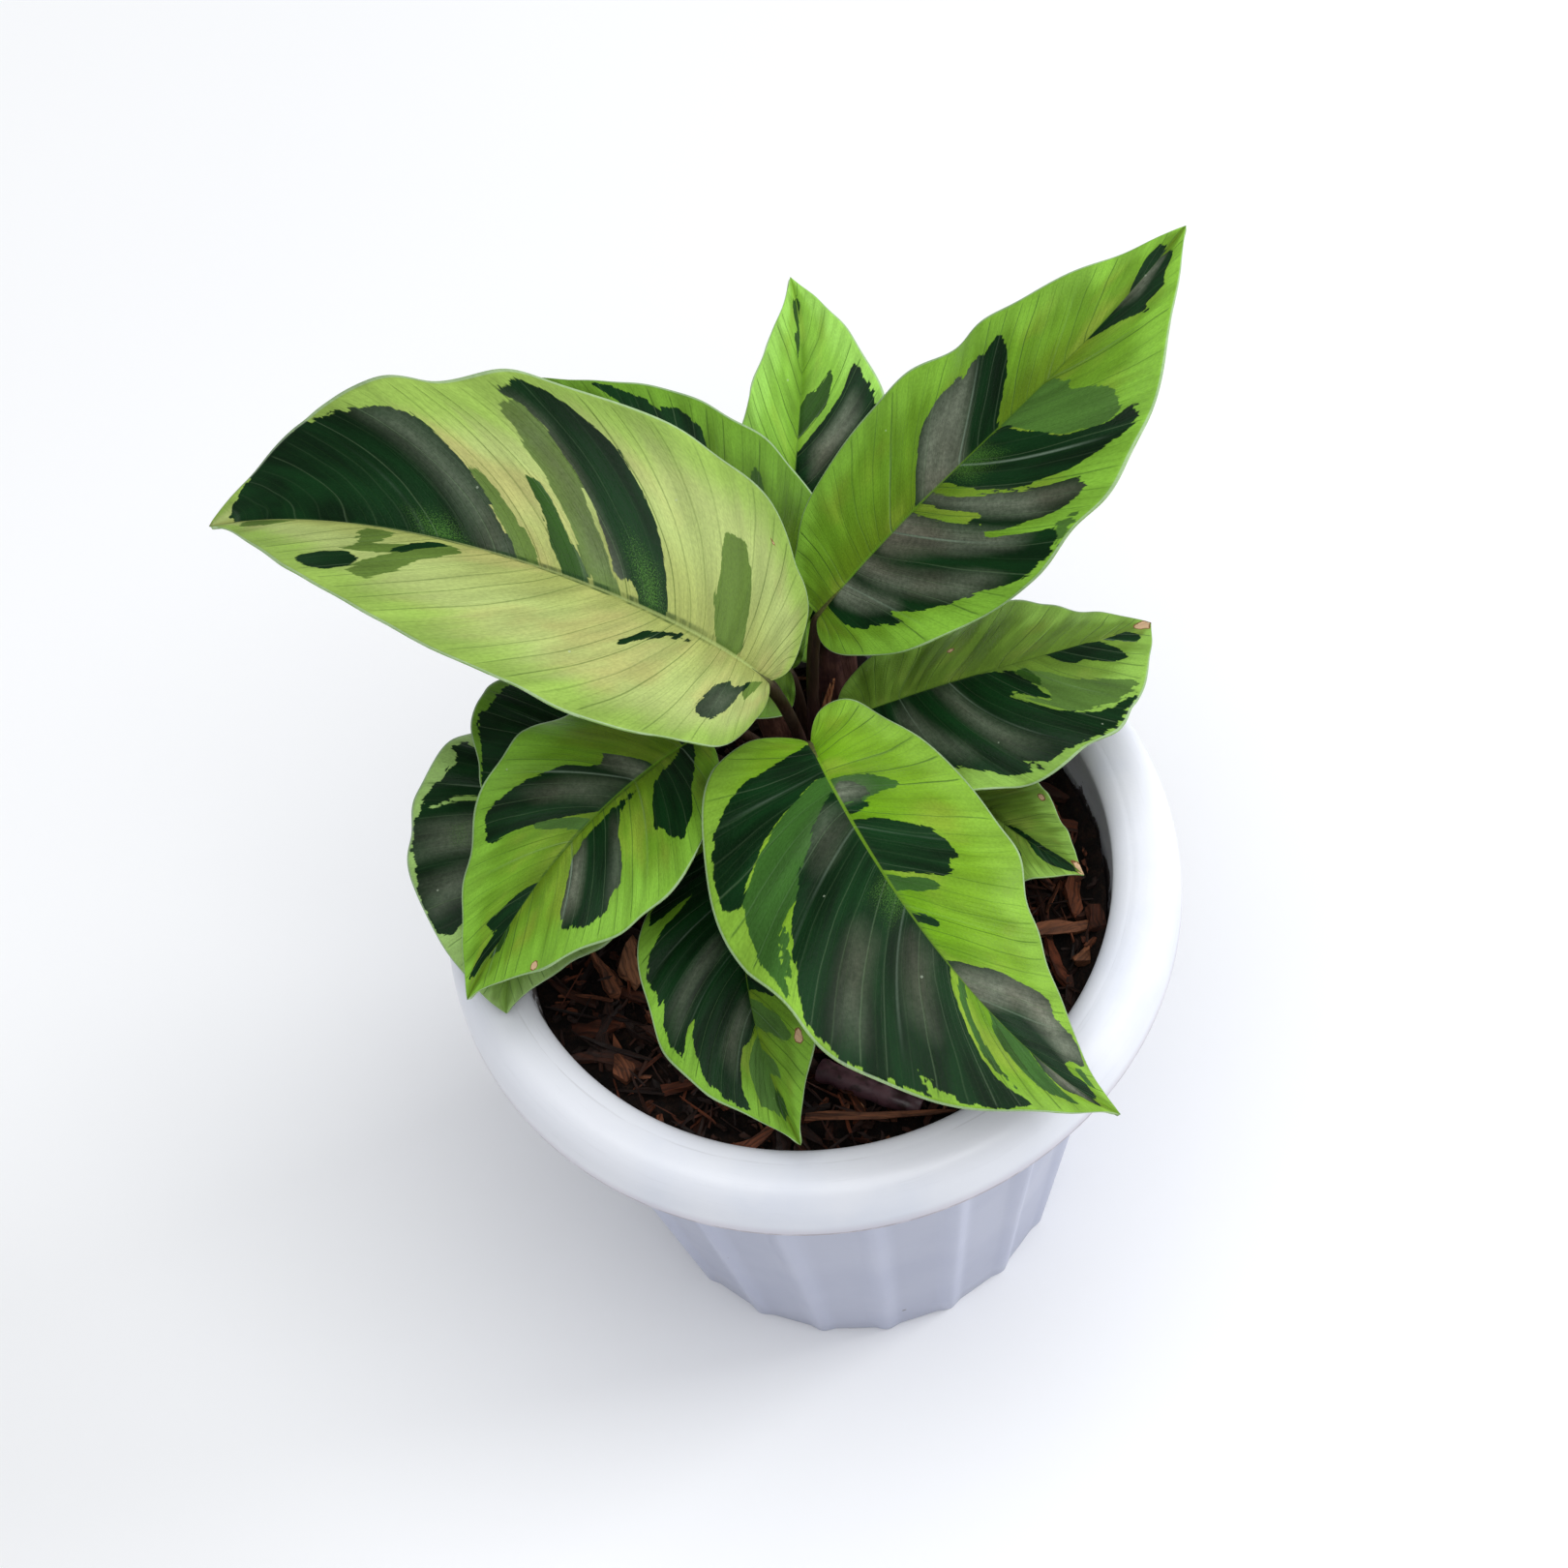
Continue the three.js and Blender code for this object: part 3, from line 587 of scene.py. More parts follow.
blades = {
    "blade_left_high": {
        "rib": [(-1, 12, 160), (-21, 24, 172), (-54, 42, 176), (-91, 60, 164)],
        "half": (29, 32), "fold": (20, 20), "roll": (0, 0), "widest": (0.36, 0.48), "full": (0.38, 0.36),
        "tip": (0.12, 0.5), "lobe": (0.02, 0.04), "wave": ((1.8, 2.5, 0.44), (1.4, 3, 0.1)),
        "root": (1, 0), "stalkRise": 0.3, "stalkTurn": 0.08, "grid": (150, 44), "lean": (0.02, -0.02),
        "colors": "cream",
        # the last value gives how strong the painted shadow beside the midrib is
        "primary": (0.19, 0.02, 0.1), "veins": 34, "ribShade": 0.8,
        # bumps of the margin: side, vein, share of the width, and reach along the veins
        "bumps": [(1, 0.05, -0.16, 0.035), (1, 0.13, 0.04, 0.03), (1, 0.2, -0.035, 0.02),
                  (1, 0.26, 0.03, 0.03), (1, 0.32, -0.03, 0.025), (1, 0.41, 0.01, 0.03),
                  (1, 0.5, 0.045, 0.035), (1, 0.57, -0.02, 0.025), (1, 0.64, 0.03, 0.03),
                  (1, 0.71, -0.03, 0.025), (1, 0.79, 0.04, 0.03), (1, 0.88, -0.03, 0.03),
                  (0, 0.52, -0.07, 0.13), (0, 0.3, -0.05, 0.08), (0, 0.34, 0.015, 0.025),
                  (0, 0.43, -0.02, 0.025), (0, 0.6, 0.02, 0.03), (0, 0.7, -0.02, 0.03)],
        "marks": [
            ("mid", 0, [(0.11, 0.14), (0.15, 0.3), (0.19, 0.45), (0.21, 0.3), (0.18, 0.17)]),
            ("dark", 0, [(0.175, 0.17), (0.215, 0.36), (0.245, 0.6), (0.27, 0.69), (0.3, 0.65),
                (0.305, 0.55), (0.29, 0.33), (0.26, 0.24), (0.25, 0.31), (0.215, 0.25)]),
            ("dim", 0, [(0.22, 0.35), (0.25, 0.6), (0.29, 0.6), (0.295, 0.4), (0.25, 0.33)]),
            ("dark", 0, [(0.395, 0.08), (0.43, 0.13), (0.445, 0.2), (0.458, 0.36), (0.468, 0.34),
                (0.46, 0.18), (0.43, 0.07)]),
            ("mid", 0, [(0.675, 0.81), (0.7, 0.82), (0.725, 0.65), (0.74, 0.5), (0.77, 0.68), (0.775, 0.45),
                (0.745, 0.1), (0.715, 0.15), (0.715, 0.45), (0.69, 0.62)]),
            ("dark", 0, [(0.703, 0.89), (0.73, 0.92), (0.757, 0.9), (0.768, 0.75), (0.757, 0.66),
                (0.735, 0.68), (0.715, 0.78)]),
            ("dark", 0, [(0.735, 0.5), (0.75, 0.42), (0.762, 0.25), (0.757, 0.1), (0.742, 0.12),
                (0.745, 0.3)]),
            ("mid", 0, [(0.775, 0.55), (0.8, 0.42), (0.82, 0.27), (0.828, 0.12), (0.8, 0.1),
                (0.785, 0.35)]),
            ("mid", 0, [(0.905, 0.1), (0.91, 0.7), (0.93, 0.82), (0.95, 0.5), (0.955, 0.1)]),
            ("mid", 1, [(0.265, 0.07), (0.275, 0.2), (0.29, 0.45), (0.305, 0.6), (0.335, 0.57), (0.35, 0.38),
                (0.362, 0.2), (0.355, 0.07), (0.31, 0.05)]),
            ("dark", 1, [(0.458, 0.1), (0.445, 0.45), (0.438, 0.75), (0.46, 0.9), (0.495, 0.96),
                (0.52, 0.93), (0.51, 0.78), (0.52, 0.55), (0.535, 0.35), (0.543, 0.12), (0.53, 0.08),
                (0.515, 0.15), (0.5, 0.05), (0.465, 0.05)]),
            ("fleck", 1, [(0.46, 0.03), (0.465, 0.2), (0.49, 0.32), (0.51, 0.24), (0.51, 0.05)]),
            ("mid", 1, [(0.52, 0.04), (0.545, 0.1), (0.542, 0.35), (0.515, 0.65), (0.513, 0.88),
                (0.54, 0.85), (0.555, 0.7), (0.57, 0.5), (0.58, 0.3), (0.585, 0.1), (0.565, 0.02)]),
            ("grey", 1, [(0.54, 0.1), (0.54, 0.4), (0.52, 0.8), (0.54, 0.8), (0.57, 0.3), (0.575, 0.1)]),
            ("deep", 1, [(0.585, 0.03), (0.592, 0.2), (0.582, 0.5), (0.592, 0.52), (0.608, 0.36),
                (0.625, 0.15), (0.62, 0.03)]),
            ("mid", 1, [(0.655, 0.05), (0.652, 0.3), (0.655, 0.58), (0.665, 0.5), (0.678, 0.25),
                (0.68, 0.05)]),
            ("dark", 1, [(0.685, 0.03), (0.677, 0.3), (0.665, 0.55), (0.66, 0.83), (0.69, 0.9), (0.74, 0.96),
                (0.8, 1), (0.86, 1.02), (0.92, 0.95), (0.955, 0.8), (0.97, 0.5), (0.975, 0), (0.8, 0),
                (0.72, 0)]),
            ("dim", 1, [(0.69, 0.05), (0.68, 0.4), (0.67, 0.85), (0.7, 0.85), (0.71, 0.4), (0.715, 0.05)]),
            ("fleck", 1, [(0.71, 0.01), (0.74, 0.2), (0.78, 0.22), (0.8, 0.01)]),
        ],
        "scars": [(1, 0.255, 0.8, 0.007, 0.018)],
    },
    "blade_right_high": {
        "rib": [(9, 30, 150), (31, 37, 170), (53, 43, 188), (78, 60, 198)],
        "half": (21, 27), "fold": (6, 6), "roll": (-3, 3), "widest": (0.31, 0.45), "full": (0.31, 0.22),
        "tip": (0.37, 0.24), "lobe": (0, 0.06), "wave": ((1.1, 3, 0.05), (1.4, 3, 0.7)),
        "root": (2, 3), "stalkRise": 0.4, "stalkTurn": 0.08, "grid": (150, 44), "lean": (0.06, 0.13),
        "colors": "lime",
        "primary": (0.185, 0.035, 0.55), "veins": 30, "ribShade": 0.2,
        "marks": [
            ("dark", 0, [(0.46, 0.015), (0.485, 0.1), (0.496, 0.3), (0.5, 0.48), (0.52, 0.62), (0.54, 0.7),
                (0.57, 0.71), (0.585, 0.68), (0.607, 0.75), (0.63, 0.72), (0.655, 0.81), (0.675, 0.75),
                (0.687, 0.58), (0.692, 0.4), (0.682, 0.1), (0.655, 0.015)]),
            ("grey", 0, [(0.48, 0.02), (0.51, 0.4), (0.53, 0.65), (0.6, 0.7), (0.6, 0.4), (0.585, 0.02)]),
            ("grey", 0, [(0.51, 0.05), (0.53, 0.6), (0.59, 0.65), (0.58, 0.05)]),
            ("dark", 0, [(0.91, 0), (0.925, 0.3), (0.935, 0.6), (0.955, 0.75), (0.968, 0.4), (0.97, 0)]),
            ("dark", 1, [(0.105, 0.02), (0.13, 0.2), (0.16, 0.5), (0.2, 0.64), (0.215, 0.6), (0.27, 0.73),
                (0.255, 0.5), (0.31, 0.7), (0.36, 0.8), (0.4, 0.95), (0.45, 0.97), (0.495, 0.92),
                (0.467, 0.58), (0.51, 0.47), (0.46, 0.05), (0.3, 0.01)]),
            ("grey", 1, [(0.24, 0.04), (0.3, 0.3), (0.36, 0.75), (0.385, 0.75), (0.34, 0.3), (0.29, 0.03)]),
            ("grey", 1, [(0.17, 0.1), (0.22, 0.35), (0.28, 0.45), (0.25, 0.2), (0.2, 0.04)]),
            ("grey", 1, [(0.36, 0.08), (0.41, 0.3), (0.46, 0.7), (0.48, 0.7), (0.47, 0.3), (0.43, 0.06)]),
            ("lime", 1, [(0.45, 0.05), (0.475, 0.2), (0.49, 0.42), (0.51, 0.47), (0.508, 0.3), (0.49, 0.12),
                (0.47, 0.04)]),
            ("dark", 1, [(0.475, 0.04), (0.505, 0.2), (0.515, 0.45), (0.48, 0.53), (0.5, 0.7), (0.53, 0.84),
                (0.57, 0.88), (0.59, 0.82), (0.57, 0.6), (0.55, 0.35), (0.53, 0.15), (0.505, 0.05)]),
            ("grey", 1, [(0.49, 0.06), (0.52, 0.3), (0.53, 0.7), (0.57, 0.8), (0.55, 0.4), (0.52, 0.1)]),
            ("dark", 1, [(0.54, 0.04), (0.56, 0.28), (0.575, 0.5), (0.6, 0.72), (0.64, 0.87), (0.67, 0.94),
                (0.7, 0.9), (0.678, 0.8), (0.67, 0.6), (0.68, 0.35), (0.685, 0.07), (0.6, 0.03)]),
            ("fleck", 1, [(0.54, 0.03), (0.57, 0.22), (0.64, 0.25), (0.66, 0.03)]),
            ("mid", 1, [(0.685, 0.05), (0.682, 0.3), (0.672, 0.55), (0.68, 0.78), (0.7, 0.82), (0.735, 0.73),
                (0.752, 0.58), (0.755, 0.36), (0.77, 0.28), (0.778, 0.07), (0.73, 0.04)]),
            ("mid", 1, [(0.45, 0.98), (0.5, 0.97), (0.53, 0.93), (0.5, 0.9)]),
            ("dark", 1, [(0.83, 0.03), (0.855, 0.22), (0.862, 0.4), (0.858, 0.73), (0.875, 0.65),
                (0.892, 0.82), (0.915, 0.72), (0.95, 0.75), (0.965, 0.5), (0.96, 0.03)]),
            ("grey", 1, [(0.9, 0.04), (0.91, 0.35), (0.95, 0.35), (0.95, 0.04)]),
        ],
        "scars": [],
    },
    "blade_back": {
        "rib": [(9, 39, 126), (8, 58, 139), (13, 76, 150), (15, 97, 158)],
        "half": (11.5, 17), "fold": (12, 12), "roll": (10, 10), "widest": (0.38, 0.42), "full": (0.35, 0.38),
        "tip": (0.35, 0.29), "lobe": (0.05, 0.05), "wave": ((1, 3, 0.38), (1.1, 3, -0.36)),
        "root": (3, 5), "grid": (120, 34), "lean": (0.04, 0.02), "colors": "fresh",
        "primary": (0.17, 0.03, 0.2), "veins": 24, "ribShade": 0.1,
        "marks": [
            ("dark", 0, [(0.2, 0.05), (0.26, 0.6), (0.34, 0.8), (0.4, 0.6), (0.38, 0.05)]),
            ("dark", 1, [(0.5, 0.02), (0.67, 0.03), (0.685, 0.15), (0.69, 0.45), (0.685, 0.7), (0.695, 0.87),
                (0.67, 0.92), (0.58, 0.93), (0.53, 0.8), (0.5, 0.4)]),
            ("grey", 1, [(0.6, 0.3), (0.61, 0.7), (0.65, 0.7), (0.65, 0.3)]),
            ("dark", 1, [(0.2, 0.05), (0.25, 0.6), (0.33, 0.8), (0.38, 0.5), (0.37, 0.05)]),
            ("deep", 1, [(0.7, 0.02), (0.715, 0.2), (0.712, 0.45), (0.74, 0.65), (0.76, 0.62), (0.765, 0.35),
                (0.78, 0.15), (0.755, 0.04)]),
            ("deep", 0, [(0.85, 0.2), (0.88, 0.45), (0.9, 0.25), (0.93, 0.6), (0.95, 0.55), (0.96, 0.1),
                (0.9, 0.08)]),
            ("deep", 1, [(0.93, 0), (0.945, 0.35), (0.96, 0.3), (0.965, 0)]),
        ],
        "scars": [],
    },
    "blade_back_left": {
        "rib": [(3, 33, 130), (-6, 44, 147), (-18, 65, 156), (-33, 88, 154)],
        "half": (22, 22.5), "fold": (10, 10), "roll": (5, 8), "widest": (0.38, 0.42), "full": (0.36, 0.3),
        "tip": (0.25, 0.08), "lobe": (0.05, 0.05), "wave": ((1, 3, 0), (1, 3, 0.13)),
        "root": (0, 4), "grid": (140, 40), "lean": (0.05, 0.06), "colors": "shady",
        "primary": (0.17, 0.05, 0.25), "veins": 28, "ribShade": 0.3,
        "marks": [
            ("dark", 0, [(0.26, 0.03), (0.3, 0.4), (0.36, 0.8), (0.42, 0.85), (0.42, 0.5), (0.38, 0.03)]),
            ("dark", 0, [(0.52, 0.03), (0.55, 0.5), (0.6, 0.85), (0.68, 0.85), (0.7, 0.5), (0.67, 0.03)]),
            ("grey", 0, [(0.56, 0.1), (0.6, 0.7), (0.65, 0.7), (0.63, 0.1)]),
            ("mid", 0, [(0.72, 0.05), (0.74, 0.5), (0.78, 0.7), (0.8, 0.4), (0.79, 0.05)]),
            ("dark", 1, [(0.12, 0.03), (0.17, 0.4), (0.22, 0.55), (0.24, 0.4), (0.2, 0.03)]),
            ("mid", 1, [(0.44, 0.15), (0.465, 0.6), (0.495, 0.78), (0.513, 0.75), (0.51, 0.5),
                (0.49, 0.15)]),
            ("dark", 1, [(0.56, 0.1), (0.6, 0.55), (0.62, 0.8), (0.66, 0.87), (0.7, 0.82), (0.77, 0.93),
                (0.83, 0.95), (0.8, 0.8), (0.73, 0.5), (0.68, 0.1)]),
            ("dark", 1, [(0.88, 0.02), (0.9, 0.5), (0.93, 0.7), (0.96, 0.4), (0.96, 0.02)]),
        ],
        "scars": [],
    },
    "blade_right": {
        "rib": [(12, 19, 134), (28, 19, 139), (46, 20, 141), (66, 26, 136)],
        "half": (16, 22.5), "fold": (-8, -4), "roll": (-7, -7), "widest": (0.34, 0.44), "full": (0.43, 0.38),
        "tip": (0.5, 0.4), "lobe": (0.07, 0.05), "wave": ((1.1, 3, 0.39), (1.3, 3, 0.46)),
        "root": (4, -2), "grid": (130, 38), "lean": (0.05, 0.03), "colors": "olive",
        "primary": (0.18, 0.005, 0.4), "veins": 28, "ribShade": 0.1,
        "bumps": [(0, 0.62, 0.15, 0.22), (0, 0.9, 0.12, 0.1), (1, 0.8, 0.1, 0.14), (1, 0.93, 0.14, 0.05),
                  (1, 0.7, -0.02, 0.02), (1, 0.55, -0.02, 0.03)],
        "marks": [
            ("dark", 1, [(0.15, 0.02), (0.25, 0.4), (0.36, 0.65), (0.395, 0.75), (0.44, 0.89), (0.485, 0.94),
                (0.465, 0.79), (0.5, 0.92), (0.6, 0.97), (0.76, 0.98), (0.68, 0.88), (0.64, 0.68),
                (0.625, 0.38), (0.645, 0.34), (0.67, 0.56), (0.695, 0.38), (0.695, 0.1), (0.5, 0.03)]),
            ("dim", 1, [(0.5, 0.08), (0.5, 0.75), (0.535, 0.75), (0.54, 0.1)]),
            ("dim", 1, [(0.33, 0.2), (0.4, 0.6), (0.43, 0.6), (0.38, 0.15)]),
            ("mid", 1, [(0.7, 0.1), (0.725, 0.12), (0.75, 0.3), (0.76, 0.5), (0.78, 0.72), (0.8, 0.95),
                (0.72, 0.9), (0.66, 0.75), (0.64, 0.45), (0.67, 0.6), (0.7, 0.45)]),
            ("deep", 1, [(0.7, 0.1), (0.703, 0.38), (0.72, 0.33), (0.725, 0.13)]),
            ("dark", 1, [(0.787, 0.05), (0.793, 0.25), (0.805, 0.4), (0.818, 0.32), (0.83, 0.52),
                (0.845, 0.73), (0.86, 0.79), (0.875, 0.7), (0.89, 0.45), (0.895, 0.1), (0.84, 0.04)]),
            ("dark", 1, [(0.905, 0.08), (0.915, 0.4), (0.92, 0.75), (0.935, 0.78), (0.95, 0.55),
                (0.95, 0.08)]),
        ],
        "scars": [(0, 0.49, 0.5, 0.012, 0.04), (0, 0.985, 0.3, 0.02, 0.8), (1, 0.985, 0.3, 0.018, 0.8)],
    },
    "blade_front_right": {
        "rib": [(4, 5, 150), (13, -27, 154), (26, -50, 146), (43, -62, 130)],
        "half": (24, 27.5), "fold": (-5, -5), "roll": (-12, -12), "widest": (0.25, 0.34),
        "full": (0.33, 0.25),
        "tip": (0.3, 0.04), "lobe": (0.15, 0.07), "wave": ((0.7, 3, -0.16), (2.1, 3, -0.18)),
        "root": (1, -4), "stalkRise": 0.1, "stalkTurn": 0.06, "grid": (150, 44), "lean": (0.13, 0.14),
        "colors": "vivid",
        "primary": (0.18, 0.02, 0.2), "veins": 30, "ribShade": 0.15,
        "marks": [
            ("mid", 0, [(0.22, 0.06), (0.26, 0.25), (0.3, 0.48), (0.32, 0.5), (0.32, 0.28), (0.33, 0.1),
                (0.3, 0.02)]),
            ("dark", 0, [(0.255, 0.08), (0.28, 0.2), (0.3, 0.24), (0.317, 0.23), (0.322, 0.15),
                (0.305, 0.05)]),
            ("grey", 0, [(0.26, 0.08), (0.285, 0.2), (0.31, 0.2), (0.3, 0.06)]),
            ("dark", 0, [(0.315, 0.05), (0.328, 0.13), (0.338, 0.19), (0.347, 0.12), (0.35, 0.05)]),
            ("dark", 0, [(0.35, 0.05), (0.375, 0.2), (0.39, 0.35), (0.41, 0.5), (0.435, 0.57), (0.47, 0.57),
                (0.475, 0.5), (0.503, 0.48), (0.508, 0.38), (0.5, 0.22), (0.49, 0.1), (0.46, 0.04)]),
            ("mid", 0, [(0.475, 0.03), (0.505, 0.1), (0.515, 0.3), (0.53, 0.36), (0.535, 0.2),
                (0.525, 0.06)]),
            ("dark", 0, [(0.56, 0.06), (0.585, 0.12), (0.598, 0.18), (0.607, 0.13), (0.6, 0.07)]),
            ("dark", 0, [(0.66, 0.05), (0.68, 0.2), (0.69, 0.36), (0.7, 0.5), (0.72, 0.62), (0.735, 0.75),
                (0.75, 0.82), (0.78, 0.8), (0.81, 0.92), (0.84, 0.96), (0.87, 0.93), (0.88, 0.82),
                (0.868, 0.65), (0.875, 0.45), (0.9, 0.42), (0.92, 0.55), (0.945, 0.45), (0.955, 0.2),
                (0.95, 0.03), (0.8, 0.04)]),
            ("grey", 0, [(0.67, 0.05), (0.71, 0.5), (0.75, 0.8), (0.86, 0.93), (0.86, 0.6), (0.8, 0.55),
                (0.76, 0.45), (0.75, 0.08)]),
            ("grey", 0, [(0.69, 0.08), (0.74, 0.7), (0.86, 0.9), (0.85, 0.65), (0.76, 0.55), (0.74, 0.1)]),
            ("mid", 0, [(0.885, 0.6), (0.885, 0.78), (0.93, 0.75), (0.92, 0.6)]),
            ("dark", 1, [(0.05, 0.1), (0.1, 0.04), (0.18, 0.04), (0.25, 0.2), (0.285, 0.37), (0.31, 0.53),
                (0.34, 0.7), (0.36, 0.83), (0.35, 0.92), (0.31, 0.94), (0.27, 0.9), (0.22, 0.7),
                (0.165, 0.43), (0.12, 0.29), (0.06, 0.2)]),
            ("mid", 1, [(0.2, 0.04), (0.3, 0.06), (0.38, 0.2), (0.41, 0.4), (0.41, 0.56), (0.42, 0.78),
                (0.47, 0.96), (0.42, 0.92), (0.36, 0.8), (0.32, 0.55), (0.28, 0.33), (0.23, 0.12)]),
            ("mid", 1, [(0.415, 0.68), (0.43, 0.7), (0.46, 0.85), (0.45, 0.86)]),
            ("dark", 1, [(0.23, 0.03), (0.3, 0.12), (0.36, 0.3), (0.4, 0.5), (0.46, 0.78), (0.49, 0.95),
                (0.56, 0.98), (0.66, 0.97), (0.645, 0.85), (0.7, 0.96), (0.75, 0.99), (0.79, 0.94),
                (0.765, 0.8), (0.74, 0.6), (0.72, 0.35), (0.69, 0.12), (0.66, 0.03), (0.5, 0.01),
                (0.3, 0.01)]),
            ("fleck", 1, [(0.46, 0.01), (0.5, 0.14), (0.56, 0.15), (0.57, 0.01)]),
            ("dim", 1, [(0.32, 0.12), (0.36, 0.28), (0.4, 0.25), (0.37, 0.1)]),
            ("dim", 1, [(0.52, 0.4), (0.54, 0.8), (0.57, 0.8), (0.55, 0.4)]),
            ("dim", 1, [(0.6, 0.15), (0.64, 0.5), (0.67, 0.55), (0.64, 0.15)]),
            ("mid", 1, [(0.68, 0.04), (0.71, 0.2), (0.735, 0.42), (0.75, 0.6), (0.785, 0.8), (0.765, 0.6),
                (0.745, 0.35), (0.72, 0.12), (0.7, 0.03)]),
            ("deep", 1, [(0.745, 0.55), (0.765, 0.6), (0.777, 0.7), (0.758, 0.68)]),
            ("mid", 1, [(0.755, 0.02), (0.775, 0.2), (0.8, 0.45), (0.83, 0.7), (0.89, 0.85), (0.87, 0.5),
                (0.83, 0.05)]),
            ("deep", 1, [(0.775, 0.1), (0.79, 0.35), (0.815, 0.5), (0.82, 0.45), (0.8, 0.2)]),
            ("dark", 1, [(0.835, 0.03), (0.86, 0.3), (0.89, 0.58), (0.91, 0.5), (0.95, 0.75), (0.96, 0.3),
                (0.95, 0.02)]),
            ("grey", 1, [(0.85, 0.04), (0.88, 0.4), (0.93, 0.5), (0.94, 0.05)]),
        ],
        "scars": [],
    },
    "blade_front_left": {
        "rib": [(-14, 15, 143), (-29, 3, 148), (-44, -9, 145), (-60, -22, 132)],
        "half": (19.5, 20.5), "fold": (8, 8), "roll": (0, 0), "widest": (0.46, 0.36), "full": (0.34, 0.3),
        "tip": (0.2, 0.34), "lobe": (0, 0.04), "wave": ((1.5, 3, 0.26), (1.3, 3, -0.21)),
        "root": (-4, -1), "grid": (130, 38), "lean": (0.01, 0.12), "colors": "lime",
        "primary": (0.23, 0.0, 0.5), "veins": 26, "ribShade": 0.6,
        "marks": [
            ("dark", 0, [(0.1, 0.05), (0.2, 0.25), (0.27, 0.4), (0.31, 0.5), (0.335, 0.72), (0.37, 0.79),
                (0.385, 0.72), (0.41, 0.58), (0.44, 0.49), (0.43, 0.32), (0.405, 0.17), (0.36, 0.12),
                (0.28, 0.09)]),
            ("dark", 0, [(0.47, 0.1), (0.53, 0.15), (0.55, 0.35), (0.54, 0.55), (0.542, 0.7), (0.56, 0.75),
                (0.57, 0.82), (0.607, 0.87), (0.645, 0.83), (0.685, 0.8), (0.706, 0.64), (0.704, 0.4),
                (0.688, 0.2), (0.65, 0.13), (0.55, 0.1)]),
            ("dim", 0, [(0.545, 0.3), (0.545, 0.7), (0.56, 0.72), (0.56, 0.25)]),
            ("grey", 0, [(0.66, 0.2), (0.66, 0.65), (0.7, 0.65), (0.69, 0.25)]),
            ("deep", 0, [(0.87, 0.05), (0.885, 0.25), (0.9, 0.37), (0.925, 0.2), (0.95, 0)]),
            ("dark", 1, [(0.36, 0.03), (0.39, 0.15), (0.405, 0.25), (0.42, 0.37), (0.435, 0.31),
                (0.455, 0.3), (0.475, 0.35), (0.485, 0.5), (0.53, 0.68), (0.58, 0.84), (0.62, 0.9),
                (0.67, 0.86), (0.68, 0.8), (0.655, 0.5), (0.635, 0.28), (0.61, 0.08), (0.55, 0.02)]),
            ("grey", 1, [(0.375, 0.03), (0.41, 0.3), (0.45, 0.27), (0.45, 0.04)]),
            ("dim", 1, [(0.49, 0.08), (0.52, 0.4), (0.57, 0.6), (0.59, 0.5), (0.57, 0.1)]),
            ("mid", 1, [(0.61, 0.04), (0.64, 0.03), (0.665, 0.2), (0.665, 0.45), (0.65, 0.48),
                (0.64, 0.3)]),
            ("dark", 1, [(0.77, 0), (0.805, 0.12), (0.83, 0.28), (0.845, 0.42), (0.862, 0.6), (0.88, 0.42),
                (0.885, 0.28), (0.92, 0.5), (0.955, 0.82), (0.96, 0.5), (0.93, 0.15), (0.88, 0)]),
            ("dark", 1, [(0.08, 0.05), (0.14, 0.4), (0.2, 0.6), (0.24, 0.5), (0.2, 0.05)]),
        ],
        "scars": [(0, 0.76, 0.95, 0.012, 0.03)],
    },
    "blade_front": {
        "rib": [(-13, 5, 126), (-13, -18, 132), (-13, -36, 131), (-9, -55, 124)],
        "half": (16, 18), "fold": (10, 10), "roll": (8, 8), "widest": (0.34, 0.44), "full": (0.34, 0.37),
        "tip": (0.22, 0.2), "lobe": (0.05, 0.01), "wave": ((1.1, 3, 0.22), (1.2, 3, 0.26)),
        "root": (-3, -5), "grid": (120, 36), "lean": (0.07, 0.07), "colors": "lime",
        "primary": (0.18, 0.02, 0.25), "veins": 26, "ribShade": 0.2,
        "marks": [
            ("dark", 0, [(0.15, 0), (0.2, 0.5), (0.4, 0.8), (0.6, 0.75), (0.68, 0.4), (0.7, 0.02)]),
            ("mid", 0, [(0.715, 0.05), (0.72, 0.5), (0.745, 0.72), (0.77, 0.6), (0.79, 0.05)]),
            ("mid", 0, [(0.83, 0.05), (0.84, 0.35), (0.87, 0.5), (0.885, 0.05)]),
            ("deep", 0, [(0.905, 0.1), (0.92, 0.35), (0.95, 0.3), (0.95, 0.05)]),
            ("dark", 1, [(0.1, 0.1), (0.17, 0.65), (0.25, 0.85), (0.3, 0.93), (0.34, 0.9), (0.335, 0.75),
                (0.315, 0.45), (0.34, 0.5), (0.36, 0.7), (0.38, 0.85), (0.41, 0.94), (0.455, 0.88),
                (0.475, 0.91), (0.484, 0.82), (0.51, 0.9), (0.55, 0.93), (0.61, 0.93), (0.59, 0.75),
                (0.6, 0.68), (0.62, 0.8), (0.68, 0.91), (0.76, 0.96), (0.82, 0.94), (0.79, 0.8),
                (0.775, 0.4), (0.79, 0.2), (0.77, 0.01), (0.4, 0)]),
            ("dim", 1, [(0.71, 0.15), (0.72, 0.6), (0.76, 0.65), (0.75, 0.15)]),
            ("dim", 1, [(0.5, 0.3), (0.52, 0.75), (0.56, 0.8), (0.54, 0.3)]),
            ("mid", 1, [(0.8, 0.05), (0.81, 0.5), (0.86, 0.8), (0.93, 0.6), (0.94, 0.05)]),
            ("deep", 1, [(0.905, 0.05), (0.92, 0.4), (0.95, 0.5), (0.96, 0.05)]),
        ],
        "scars": [(0, 0.73, 0.8, 0.018, 0.06)],
    },
